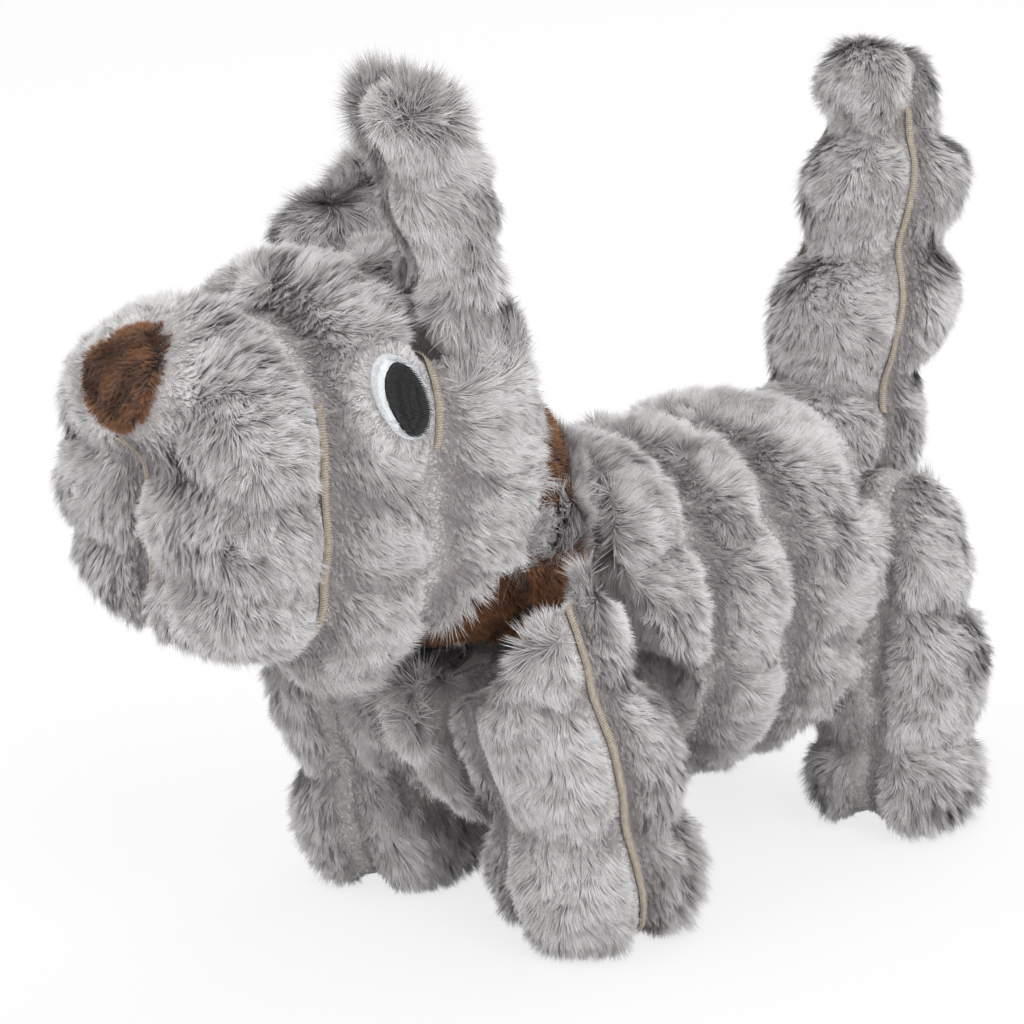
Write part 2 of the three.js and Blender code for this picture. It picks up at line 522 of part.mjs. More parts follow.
// ears, upright, then leaned: the left one stands, the right one lies back
function earOf(shares, r, around, grow) {
  return alongZ(rowsUp(shares, ear), roundPower, around, grow)
    .add(ball(earBall.x, earBall.y, earBall.z, r + grow, around));
}
const earPoint = (s) => [s * earBall.x, earBall.y, earBall.z];
function earPose(side, fold = 0) {
  const s = side === 'left' ? 1 : -1;
  const rest = side === 'left' ? earRestLeftDegrees : earRestRightDegrees;
  return headPose.clone().multiply(turnAbout(earPoint(s), [1, 0, 0], fold))
    .multiply(turnAbout(earPoint(s), [0, 1, 0], s * rest.lean))
    .multiply(turnAbout(earPoint(s), [1, 0, 0], -rest.back))
    .multiply(turnAbout(earPoint(s), [0, 0, 1], s * rest.twist));
}
for (const side of ['left', 'right']) {
  const pose = earPose(side);
  const place = (s) => moved(side === 'left' ? s : flipped(s), pose);
  const shell = earOf(earShares, earBall.r, sides.ear, 0)
    .subtract(earOf(earFillingShares, earBall.r - earPile, sides.earFilling, gap));
  const split = (x0, x1) => block(x0, x1, -big, big, -big, big);
  add(`ear_outer_panel_${side}`, place(shell.intersect(split(earBall.x + halfGap, big))), 'fur');
  add(`ear_inner_panel_${side}`, place(shell.intersect(split(-big, earBall.x - halfGap))), 'fur');
  const core = earOf(earFillingShares, earBall.r - earPile, sides.earFilling, 0);
  add(`ear_stuffing_${side}`, place(core), 'filling');
}

// head: panels, nose, eyes and filling, made facing forward and then turned
const earCoarse = alongZ(only(rowsUp(earShares, ear), earCoverOf), roundPower, earCoverOf.sides,
  slip + earCoverOf.extra);
const earCover = (side) => sweptCover(
  side === 'left' ? earCoarse : flipped(earCoarse),
  [...earRangeDegrees, 0].map((a) => headPose.clone().invert().multiply(earPose(side, a))));
const earSocket = (s) => socket(...earPoint(s), earBall.r, sides.limb);
const fromHead = (s) => [neckCut, earCover('left'), earCover('right'), earSocket(1), earSocket(-1)]
  .reduce((a, b) => a.subtract(b), s);
const muzzleFront = headSections[0][0];
const grooveHalf = muzzleGroove.width / 2;
const groove = rod([[-grooveHalf, muzzleFront - reach], [grooveHalf, muzzleFront - reach],
  [0, muzzleFront + muzzleGroove.depth]], 'z', chinZ, nose.z - nose.halfHeight);
const headShell = fromHead(headAt(0).subtract(headIn(gap)));
const noseOval = (grow) => oval(0, nose.z, nose.halfWidth + grow, nose.halfHeight + grow, 0, sides.mark);
const nosePatch = (grow) => rod(noseOval(grow), 'y', -big, nose.back);
const noseRoom = nosePatch(gap).subtract(headAt(-nose.sunk - gap - nose.slack));
const eyeOval = (e, grow) => oval(
  e.y, e.z, e.halfWidth + grow, e.halfHeight + grow, eyeLeanDegrees, sides.mark);
const eyeAt = (e, grow) => rod(eyeOval(e, grow), 'x', eye.inner, big);
const pupilSpot = { ...pupil, y: eye.y + pupil.back, z: eye.z - pupil.drop };
const eyeRoom = eyeAt(eye, gap).subtract(headAt(-eye.sunk - gap));
const whiteSolid = eyeAt(eye, 0).intersect(headAt(eye.proud)).subtract(headAt(-eye.sunk))
  .subtract(eyeAt(pupilSpot, gap).subtract(headAt(pupil.sunk - gap)));
const pupilSolid = eyeAt(pupilSpot, 0).intersect(headAt(pupil.proud)).subtract(headAt(pupil.sunk));
const face = headShell.subtract(noseRoom).subtract(eyeRoom).subtract(flipped(eyeRoom)).subtract(groove);
const slab = (y0, y1) => block(-big, big, y0, y1, -big, big);
const muzzle = face.intersect(slab(-big, muzzleY - halfGap));
const above = block(-big, big, -big, big, chinZ + halfGap, big);
const below = block(-big, big, -big, big, -big, chinZ - halfGap);
const inHead = (name, solid, colour) => add(name, moved(solid, headPose), colour);
inHead('muzzle_panel_left', muzzle.intersect(above).intersect(leftHalf), 'fur');
inHead('muzzle_panel_right', muzzle.intersect(above).intersect(rightHalf), 'fur');
inHead('chin_panel', muzzle.intersect(below), 'fur');
const cheek = face.intersect(slab(muzzleY + halfGap, cheekY - halfGap));
inHead('cheek_band_left', cheek.intersect(leftHalf), 'fur');
inHead('cheek_band_right', cheek.intersect(rightHalf), 'fur');
const nape = face.intersect(slab(cheekY + halfGap, big));
inHead('nape_band_left', nape.intersect(leftHalf), 'fur');
inHead('nape_band_right', nape.intersect(rightHalf), 'fur');
inHead('nose', nosePatch(0).intersect(headAt(nose.proud)).subtract(headAt(-nose.sunk)), 'brown');
for (const [side, f] of [['left', (s) => s], ['right', flipped]]) {
  inHead(`eye_white_${side}`, f(whiteSolid), 'white');
  inHead(`eye_pupil_${side}`, f(pupilSolid), 'black');
}
inHead('head_stuffing', fromHead(headIn(0)), 'filling');

// the origin is under the middle of the whole toy, on the ground
const bounds = new THREE.Box3().setFromObject(group);
const middle = bounds.getCenter(new THREE.Vector3());
for (const mesh of group.children) mesh.geometry.translate(-middle.x, -middle.y, -bounds.min.z);

export default group;
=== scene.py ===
"""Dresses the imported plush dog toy: fur, seams, embroidered eyes, nose and neck band."""

from __future__ import annotations

import json
import logging
import math
from dataclasses import dataclass, field, fields, replace
from enum import Enum

import bmesh
import bpy
import numpy as np
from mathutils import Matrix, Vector, noise
from mathutils.bvhtree import BVHTree

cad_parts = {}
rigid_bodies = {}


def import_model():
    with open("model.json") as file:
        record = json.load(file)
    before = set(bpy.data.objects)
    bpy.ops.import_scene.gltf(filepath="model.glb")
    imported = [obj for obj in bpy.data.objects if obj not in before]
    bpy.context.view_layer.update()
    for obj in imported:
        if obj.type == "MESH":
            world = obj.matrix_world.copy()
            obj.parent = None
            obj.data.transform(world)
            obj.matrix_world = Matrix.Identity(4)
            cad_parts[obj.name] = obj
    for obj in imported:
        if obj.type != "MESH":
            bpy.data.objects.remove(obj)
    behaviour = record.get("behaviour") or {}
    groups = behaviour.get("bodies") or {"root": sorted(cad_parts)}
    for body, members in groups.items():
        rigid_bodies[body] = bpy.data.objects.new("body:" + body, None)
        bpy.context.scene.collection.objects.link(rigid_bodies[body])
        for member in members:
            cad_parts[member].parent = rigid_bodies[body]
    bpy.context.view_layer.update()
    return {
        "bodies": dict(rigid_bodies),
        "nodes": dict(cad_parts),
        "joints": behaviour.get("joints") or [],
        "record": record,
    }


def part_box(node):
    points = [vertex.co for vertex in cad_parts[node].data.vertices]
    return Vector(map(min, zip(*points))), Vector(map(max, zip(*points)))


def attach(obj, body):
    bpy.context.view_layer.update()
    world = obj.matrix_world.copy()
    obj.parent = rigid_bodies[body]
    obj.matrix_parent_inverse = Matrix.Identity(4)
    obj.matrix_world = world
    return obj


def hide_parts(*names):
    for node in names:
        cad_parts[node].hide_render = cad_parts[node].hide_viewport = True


LOG = logging.getLogger("plush_dog")
MM = 0.001
UP = np.array([0.0, 0.0, 1.0])

Socket = bpy.types.NodeSocket
Thing = bpy.types.Object
Material = bpy.types.Material


class Side(Enum):
    """Left and right of the dog, with the sign of X there."""

    LEFT = ("left", 1.0)
    RIGHT = ("right", -1.0)

    @property
    def word(self) -> str:
        """The side's word in the names of nodes."""
        return self.value[0]


class Graph:
    """Adds and joins the nodes of one node tree, each call putting out a socket."""

    def __init__(self, tree: bpy.types.NodeTree) -> None:
        """Starts with an empty or a given tree.

        Args:
            tree: the tree that the nodes go into.
        """
        self.tree = tree

    def node(self, kind: str, settings: dict | None = None, **inputs: object) -> bpy.types.Node:
        """Adds a node and fills its inputs.

        Args:
            kind: the node's type.
            settings: properties to set on it, such as operation.
            inputs: a socket or a value for each input, by name with _ for spaces or by number as i0.

        Returns:
            The new node.
        """
        made = self.tree.nodes.new(kind)
        for name, value in (settings or {}).items():
            setattr(made, name, value)
        for name, value in inputs.items():
            if name[0] == "i" and name[1:].isdigit():
                socket = made.inputs[int(name[1:])]
            else:
                socket = made.inputs[name.replace("_", " ")]
            self.fill(socket, value)
        return made

    def fill(self, socket: Socket, value: object) -> None:
        """Joins a socket to an input, or sets its value.

        Args:
            socket: the input.
            value: another node's output, or a plain value.
        """
        if isinstance(value, Socket):
            self.tree.links.new(value, socket)
        else:
            socket.default_value = value

    def math(self, operation: str, *values: object) -> Socket:
        """Returns the result of a Math node on up to three values."""
        inputs = {f"i{i}": value for i, value in enumerate(values)}
        return self.node("ShaderNodeMath", {"operation": operation}, **inputs).outputs[0]

    def vector(self, operation: str, *values: object) -> Socket:
        """Adds a Vector Math node.

        Args:
            operation: what it does.
            values: its inputs; the second is the scale for SCALE.

        Returns:
            The resulting vector, or a number for DOT_PRODUCT and LENGTH.
        """
        made = self.node("ShaderNodeVectorMath", {"operation": operation})
        for i, value in enumerate(values):
            self.fill(made.inputs[3 if operation == "SCALE" and i == 1 else i], value)
        return made.outputs["Value" if operation in ("DOT_PRODUCT", "LENGTH") else "Vector"]

    def combine(self, x: object, y: object, z: object) -> Socket:
        """Returns a vector of three numbers."""
        return self.node("ShaderNodeCombineXYZ", None, i0=x, i1=y, i2=z).outputs[0]

    def mix_colours(self, amount: object, first: object, second: object, kind: str = "MIX") -> Socket:
        """Returns a blend of two colours.

        Args:
            amount: how much of the second, 0 to 1.
            first: the first colour.
            second: the second colour.
            kind: the way they blend.

        Returns:
            The blended colour's socket.
        """
        made = self.node("ShaderNodeMix", {"data_type": "RGBA", "blend_type": kind})
        for index, value in ((0, amount), (6, first), (7, second)):
            self.fill(made.inputs[index], value)
        return made.outputs[2]

    def ramp(self, amount: object, low: float, high: float, start: float = 0.0, end: float = 1.0) -> Socket:
        """Adds a value that runs smoothly from one number to another.

        Args:
            amount: what it depends on.
            low: the amount at which it starts to change.
            high: the amount at which it stops.
            start: the value at low.
            end: the value at high.

        Returns:
            The value's socket.
        """
        made = self.node(
            "ShaderNodeMapRange", {"interpolation_type": "SMOOTHSTEP"},
            Value=amount, From_Min=low, From_Max=high, To_Min=start, To_Max=end,
        )
        return made.outputs[0]

    def attribute(self, name: str, kind: str = "FLOAT") -> Socket:
        """Reads a named attribute in a geometry tree.

        Args:
            name: the attribute's name.
            kind: its type.

        Returns:
            The attribute's socket.
        """
        made = self.node("GeometryNodeInputNamedAttribute", {"data_type": kind})
        made.inputs["Name"].default_value = name
        return made.outputs[0]

    def store(self, geometry: object, name: str, kind: str, value: object, domain: str = "POINT") -> Socket:
        """Stores a named attribute on a geometry.

        Args:
            geometry: the geometry.
            name: the attribute's name.
            kind: its type.
            value: what it holds.
            domain: what it is stored on.

        Returns:
            The geometry with the attribute.
        """
        made = self.node("GeometryNodeStoreNamedAttribute", {"data_type": kind, "domain": domain})
        self.fill(made.inputs["Geometry"], geometry)
        made.inputs["Name"].default_value = name
        self.fill(made.inputs["Value"], value)
        return made.outputs[0]

    def random(self, low: float, high: float, seed: int) -> Socket:
        """Adds a random number for each element.

        Args:
            low: the smallest number.
            high: the largest number.
            seed: the seed.

        Returns:
            The number's socket.
        """
        made = self.node("FunctionNodeRandomValue", {"data_type": "FLOAT"})
        made.inputs[2].default_value = low
        made.inputs[3].default_value = high
        made.inputs["Seed"].default_value = seed
        return made.outputs[1]

    def random_vector(self, seed: int) -> Socket:
        """Adds a random vector for each element, each number from -1 to 1.

        Args:
            seed: the seed.

        Returns:
            The vector's socket.
        """
        made = self.node("FunctionNodeRandomValue", {"data_type": "FLOAT_VECTOR"})
        made.inputs[0].default_value = (-1.0, -1.0, -1.0)
        made.inputs[1].default_value = (1.0, 1.0, 1.0)
        made.inputs["Seed"].default_value = seed
        return made.outputs[0]

    def flat(self, vector: object, normal: object) -> Socket:
        """Returns a vector without its part along a normal."""
        along = self.vector("SCALE", normal, self.vector("DOT_PRODUCT", vector, normal))
        return self.vector("SUBTRACT", vector, along)


class NodeMaker:
    """Makes plain meshes with one Geometry Nodes tree, built once."""

    TITLE: str
    INPUTS: tuple[tuple[str, str], ...]
    GONE: tuple[str, ...]

    def __init__(self) -> None:
        """Builds the pattern that is copied, and the tree."""
        self.pattern = self._pattern()
        self.tree = bpy.data.node_groups.new(self.TITLE, "GeometryNodeTree")
        self.tree.interface.new_socket(self.TITLE, in_out="OUTPUT", socket_type="NodeSocketGeometry")
        for name, kind in self.INPUTS:
            self.tree.interface.new_socket(name, in_out="INPUT", socket_type="NodeSocket" + kind)
        g = Graph(self.tree)
        given = g.node("NodeGroupInput").outputs
        coloured = g.node(
            "GeometryNodeSetMaterial", None, Geometry=self._fill(g, given), Material=given["Material"])
        g.node("NodeGroupOutput", None, i0=coloured.outputs[0])

    def _pattern(self) -> Thing:
        """Returns the object that the tree copies."""
        raise NotImplementedError

    def _fill(self, g: Graph, given: bpy.types.NodeOutputs) -> Socket:
        """Adds the tree's own nodes.

        Args:
            g: the tree's graph.
            given: the tree's inputs.

        Returns:
            The geometry that the tree puts out.
        """
        raise NotImplementedError

    @staticmethod
    def copies(g: Graph, given: bpy.types.NodeOutputs, points: Socket, **inputs: object) -> Socket:
        """Puts a copy of the pattern on each point.

        Args:
            g: the tree's graph.
            given: the tree's inputs.
            points: the points.
            inputs: more inputs of Instance on Points.

        Returns:
            The copies as real geometry.
        """
        pattern = g.node("GeometryNodeObjectInfo", None, Object=given["Pattern"]).outputs["Geometry"]
        placed = g.node("GeometryNodeInstanceOnPoints", None, Points=points, Instance=pattern, **inputs)
        return g.node("GeometryNodeRealizeInstances", None, Geometry=placed.outputs[0]).outputs[0]

    def run(self, name: str, source: bpy.types.Mesh, values: dict[str, object]) -> Thing:
        """Runs the tree on a mesh.

        Args:
            name: the new piece's name.
            source: the mesh that the tree starts from.
            values: the tree's inputs by name.

        Returns:
            The result as a plain mesh object.
        """
        start = link(bpy.data.objects.new(name + "_source", source))
        modifier = start.modifiers.new("maker", "NODES")
        modifier.node_group = self.tree
        values = {"Pattern": self.pattern, **values}
        for item in self.tree.interface.items_tree:
            if item.in_out == "INPUT" and item.name in values:
                modifier[item.identifier] = values[item.name]
        made = plain_copy(start, name)
        bpy.data.objects.remove(start)
        for gone in self.GONE:
            if gone in made.data.attributes:
                made.data.attributes.remove(made.data.attributes[gone])
        return made


@dataclass(frozen=True)
class PileRule:
    """How the strands of one kind of pile grow, in metres and shares."""

    length: float
    width: float
    strands_per_area: float
    tuft_size: float
    tuft_pull: float = 0.15
    wisp_pull: float = 0.6
    start_lift: float = 0.85
    end_lift: float = 0.46
    swirl: float = 5.0
    swirl_size: float = 13 * MM
    tuft_turn: float = 0.7
    strand_turn: float = 0.3
    floor: float = 0.3 * MM

    @classmethod
    def names(cls) -> dict[str, str]:
        """Returns the name of the tree's input for each field."""
        return {size.name: size.name.replace("_", " ").title() for size in fields(cls)}


class PileMaker(NodeMaker):
    """Grows strands on a scalp."""

    TITLE = "Pile"
    INPUTS = (
        ("Scalp", "Geometry"), ("Pattern", "Object"), ("Material", "Material"), ("Seed", "Int"),
        *((name, "Float") for name in PileRule.names().values()),
    )
    GONE = ("root", "control", "tip", "side", "facing", "strand", "lay", "long", "lift", "cover", "free")
    WISPS_ACROSS_TUFT = 2.7
    WISP_TURN = 0.8
    STRAND_LENGTHS = (0.72, 1.06)
    TUFT_LENGTHS = (0.85, 1.12)
    WISP_LIFTS = (0.75, 1.3)
    STRAND_WIDTHS = (0.7, 1.25)
    STEEPEST_START = 0.98
    STEEPEST_END = 0.95
    LEAST_LEAN = 0.02
    SIDE_SPREAD = 0.25
    FACING_SPREAD = 0.55
    FLOOR_SPREAD = 0.8 * MM

    def _pattern(self) -> Thing:
        """Makes the strand's pattern.

        Returns:
            A narrow triangle, with places along and across it.
        """
        along = (0.0, 0.0, 1.0)
        across = (-1.0, 1.0, 0.0)
        mesh = bpy.data.meshes.new("strand_pattern")
        mesh.from_pydata([(u, v, 0.0) for u, v in zip(across, along)], [], [(0, 1, 2)])
        for name, values in (("along", along), ("across", across)):
            store_values(mesh, name, values)
        return bpy.data.objects.new("strand_pattern", mesh)

    def _fill(self, g: Graph, given: bpy.types.NodeOutputs) -> Socket:
        """Adds the nodes that spread the strands' roots and work out how each strand bends.

        Args:
            g: the tree's graph.
            given: the tree's inputs.

        Returns:
            The pile's geometry.
        """
        points = g.node(
            "GeometryNodeDistributePointsOnFaces", {"distribute_method": "RANDOM"},
            Mesh=given["Scalp"], Seed=given["Seed"],
            Density=g.math("MULTIPLY", given["Strands Per Area"], g.attribute("cover")),
        )
        normal = points.outputs["Normal"]
        root = g.node("GeometryNodeInputPosition").outputs[0]
        tuft, wisp = (
            g.node("ShaderNodeTexVoronoi", {"feature": "F1"}, Vector=root, Randomness=1.0,
                   Scale=g.math("DIVIDE", across, given["Tuft Size"])).outputs
            for across in (1.0, self.WISPS_ACROSS_TUFT))
        tuft_turn, wisp_turn = (
            g.vector("SUBTRACT", found["Color"], (0.5, 0.5, 0.5)) for found in (tuft, wisp))
        tuft_turn = g.vector("ADD", tuft_turn, g.vector("SCALE", wisp_turn, self.WISP_TURN))
        turn = g.vector("ADD", g.vector("SCALE", tuft_turn, given["Tuft Turn"]),
                        g.vector("SCALE", g.random_vector(3), given["Strand Turn"]))
        bent = g.node("ShaderNodeTexNoise", None, Vector=root, Detail=1.0, Roughness=0.4,
                      Scale=g.math("DIVIDE", 1.0, given["Swirl Size"])).outputs[0]
        angle = g.math("MULTIPLY", g.math("SUBTRACT", bent, 0.5), given["Swirl"])
        angle = g.math("MULTIPLY", angle, g.attribute("free"))
        lay = g.attribute("lay", "FLOAT_VECTOR")
        lay = g.vector("ADD", g.vector("SCALE", lay, g.math("COSINE", angle)),
                       g.vector("SCALE", g.vector("CROSS_PRODUCT", normal, lay), g.math("SINE", angle)))
        lay = g.vector("NORMALIZE", g.flat(g.vector("NORMALIZE", g.vector("ADD", lay, turn)), normal))
        tuft_tone, wisp_tone = (
            g.node("ShaderNodeSeparateXYZ", None, i0=found["Color"]).outputs for found in (tuft, wisp))
        spread = g.math("MULTIPLY", g.random(*self.STRAND_LENGTHS, 5),
                        g.ramp(tuft_tone[0], 0.0, 1.0, *self.TUFT_LENGTHS))
        long = g.math("MULTIPLY", g.math("MULTIPLY", given["Length"], g.attribute("long")), spread)
        lift = g.math("MULTIPLY", g.attribute("lift"), g.ramp(wisp_tone[1], 0.0, 1.0, *self.WISP_LIFTS))
        pulls = [
            g.vector("SCALE", g.flat(g.vector("SUBTRACT", found["Position"], root), normal), share)
            for found, share in ((tuft, given["Tuft Pull"]), (wisp, given["Wisp Pull"]))]

        def leaning(name: str, steepest: float, scale: float) -> Socket:
            """Adds an offset along the strand, lifted from the skin.

            Args:
                name: the lift that counts.
                steepest: the most that it may be.
                scale: the share of the strand's length.

            Returns:
                The offset's socket.
            """
            share = g.math("MINIMUM", g.math("MULTIPLY", lift, given[name]), steepest)
            lean = g.math("MAXIMUM", g.math("SUBTRACT", 1.0, g.math("MULTIPLY", share, share)), self.LEAST_LEAN)
            along = g.vector("SCALE", lay, g.math("SQRT", lean))
            way = g.vector("ADD", g.vector("SCALE", normal, share), along)
            return g.vector("SCALE", way, g.math("MULTIPLY", long, scale))

        control = leaning("Start Lift", self.STEEPEST_START, 0.5)
        tip = g.vector("ADD", leaning("End Lift", self.STEEPEST_END, 1.0), g.vector("ADD", *pulls))
        bend = g.vector("SCALE", g.random_vector(11), g.math("MULTIPLY", long, self.SIDE_SPREAD))
        side = g.vector("NORMALIZE", g.vector("CROSS_PRODUCT", g.vector("ADD", tip, bend), normal))
        facing = g.vector("ADD", normal, g.vector("SCALE", tuft_turn, self.FACING_SPREAD))
        width = g.math("MULTIPLY", given["Width"], g.random(*self.STRAND_WIDTHS, 17))
        width = g.math("MULTIPLY", width, g.math("MINIMUM", g.math("ADD", g.attribute("long"), 0.3), 1.0))
        geometry = points.outputs["Points"]
        for name, kind, value in (
            ("root", "FLOAT_VECTOR", root), ("control", "FLOAT_VECTOR", control), ("tip", "FLOAT_VECTOR", tip),
            ("side", "FLOAT_VECTOR", g.vector("SCALE", side, width)),
            ("facing", "FLOAT_VECTOR", g.vector("NORMALIZE", facing)),
            ("tone", "FLOAT", g.random(0.0, 1.0, 23)), ("tuft", "FLOAT", wisp_tone[0]),
            ("strand", "INT", g.node("GeometryNodeInputIndex").outputs[0]),
        ):
            geometry = g.store(geometry, name, kind, value)
        return self._blades(g, given, geometry)

    def _blades(self, g: Graph, given: bpy.types.NodeOutputs, roots: Socket) -> Socket:
        """Adds the nodes that bend a blade along each strand and chart it for baking.

        Args:
            g: the tree's graph.
            given: the tree's inputs.
            roots: the roots with what was worked out for each strand.

        Returns:
            The pile's geometry.
        """
        count = g.node("GeometryNodeAttributeDomainSize", {"component": "POINTCLOUD"}, Geometry=roots)
        along, across, strand = g.attribute("along"), g.attribute("across"), g.attribute("strand", "INT")
        root, control, tip, side, facing = (
            g.attribute(name, "FLOAT_VECTOR") for name in ("root", "control", "tip", "side", "facing"))
        bow = g.math("MULTIPLY", g.math("MULTIPLY", along, g.math("SUBTRACT", 1.0, along)), 2.0)
        curve = g.vector("ADD", g.vector("SCALE", control, bow),
                         g.vector("SCALE", tip, g.math("MULTIPLY", along, along)))
        place = g.vector("ADD", root, curve)
        place = g.vector("ADD", place, g.vector("SCALE", side, g.math("MULTIPLY", across, 0.5)))
        parts = g.node("ShaderNodeSeparateXYZ", None, i0=place).outputs
        lowest = g.math("ADD", given["Floor"], g.math("MULTIPLY", g.attribute("tone"), self.FLOOR_SPREAD))
        place = g.combine(parts[0], parts[1], g.math("MAXIMUM", parts[2], lowest))
        moved = g.node("GeometryNodeSetPosition", None, Geometry=self.copies(g, given, roots), Position=place)
        columns = g.math("CEIL", g.math("SQRT", g.math("MAXIMUM", count.outputs["Point Count"], 1.0)))
        column = g.math("FLOORED_MODULO", strand, columns)
        row = g.math("FLOOR", g.math("DIVIDE", g.math("ADD", strand, 0.5), columns))
        cell_u = g.math("ADD", column, g.math("ADD", 0.5, g.math("MULTIPLY", across, 0.4)))
        cell_v = g.math("ADD", row, g.math("ADD", 0.1, g.math("MULTIPLY", along, 0.8)))
        chart = g.combine(g.math("DIVIDE", cell_u, columns), g.math("DIVIDE", cell_v, columns), 0.0)
        mapped = g.store(moved.outputs[0], "OFBake", "FLOAT2", chart, "CORNER")
        turned = g.node("GeometryNodeSetMeshNormal", {"mode": "FREE", "domain": "POINT"}, Mesh=mapped,
                        Custom_Normal=facing)
        return turned.outputs[0]

    def grow(
        self, name: str, scalp: bpy.types.Mesh, values: dict[str, np.ndarray], rule: PileRule,
        material: Material, seed: int,
    ) -> Thing:
        """Grows the pile of one scalp.

        Args:
            name: the new piece's name.
            scalp: the cloth that the pile grows on.
            values: cover, long, lift, shade, free and lay at its vertices.
            rule: the pile's sizes.
            material: the pile's material.
            seed: the seed of its random numbers.

        Returns:
            The pile as a plain mesh object.
        """
        shade_smooth(scalp)
        for key, rows in values.items():
            store_values(scalp, key, rows)
        sizes = {title: getattr(rule, size) for size, title in rule.names().items()}
        return self.run(name, scalp, {"Material": material, "Seed": seed, **sizes})


def plain_copy(source: Thing, name: str) -> Thing:
    """Returns a new object with the evaluated mesh of another, free of modifiers.

    Args:
        source: the object with its modifiers.
        name: the new object's name.

    Returns:
        The new object, in the scene.
    """
    depsgraph = bpy.context.evaluated_depsgraph_get()
    depsgraph.update()
    mesh = bpy.data.meshes.new_from_object(
        source.evaluated_get(depsgraph), preserve_all_data_layers=True, depsgraph=depsgraph)
    mesh.name = name
    return link(bpy.data.objects.new(name, mesh))


def link(thing: Thing) -> Thing:
    """Puts an object into the scene and returns it."""
    bpy.context.scene.collection.objects.link(thing)
    return thing


def shade_smooth(mesh: bpy.types.Mesh) -> None:
    """Shades every face of a mesh smooth."""
    mesh.polygons.foreach_set("use_smooth", [True] * len(mesh.polygons))


def store_values(mesh: bpy.types.Mesh, name: str, values: object) -> None:
    """Stores a number or a vector for each vertex.

    Args:
        mesh: the mesh.
        name: the attribute's name.
        values: a number or a row for each vertex.
    """
    rows = np.array(values, float)
    kind, key = ("FLOAT_VECTOR", "vector") if rows.ndim > 1 else ("FLOAT", "value")
    mesh.attributes.new(name, kind, "POINT").data.foreach_set(key, rows.ravel())


def numbers(collection: object, key: str, width: int, kind: type = np.float64) -> np.ndarray:
    """Reads one property of every element of a mesh collection.

    Args:
        collection: the elements, such as mesh.vertices.
        key: the property's name.
        width: how many numbers it has.
        kind: the type of the numbers.

    Returns:
        An array with a row for each element.
    """
    values = np.empty(len(collection) * width, kind)
    collection.foreach_get(key, values)
    return values.reshape(-1, width) if width > 1 else values


def unit(vectors: np.ndarray) -> np.ndarray:
    """Returns rows of length 1."""
    return vectors / np.maximum(np.linalg.norm(vectors, axis=-1, keepdims=True), 1e-12)


def smooth_step(values: np.ndarray, low: float, high: float) -> np.ndarray:
    """Returns 0 below low, 1 above high and a smooth run between."""
    share = np.clip((values - low) / (high - low), 0.0, 1.0)
    return share * share * (3.0 - 2.0 * share)


def flat(vectors: np.ndarray, normals: np.ndarray) -> np.ndarray:
    """Returns rows without their parts along normals."""
    return vectors - normals * np.sum(vectors * normals, axis=1, keepdims=True)


def turn(values: dict[str, np.ndarray], directions: np.ndarray, share: np.ndarray) -> None:
    """Turns the pile towards directions.

    Args:
        values: the pile's values, whose lay is changed.
        directions: a direction for each vertex.
        share: how far it turns there, 0 to 1.
    """
    share = share[:, None]
    values["lay"] = unit(values["lay"] * (1 - share) + directions * share)


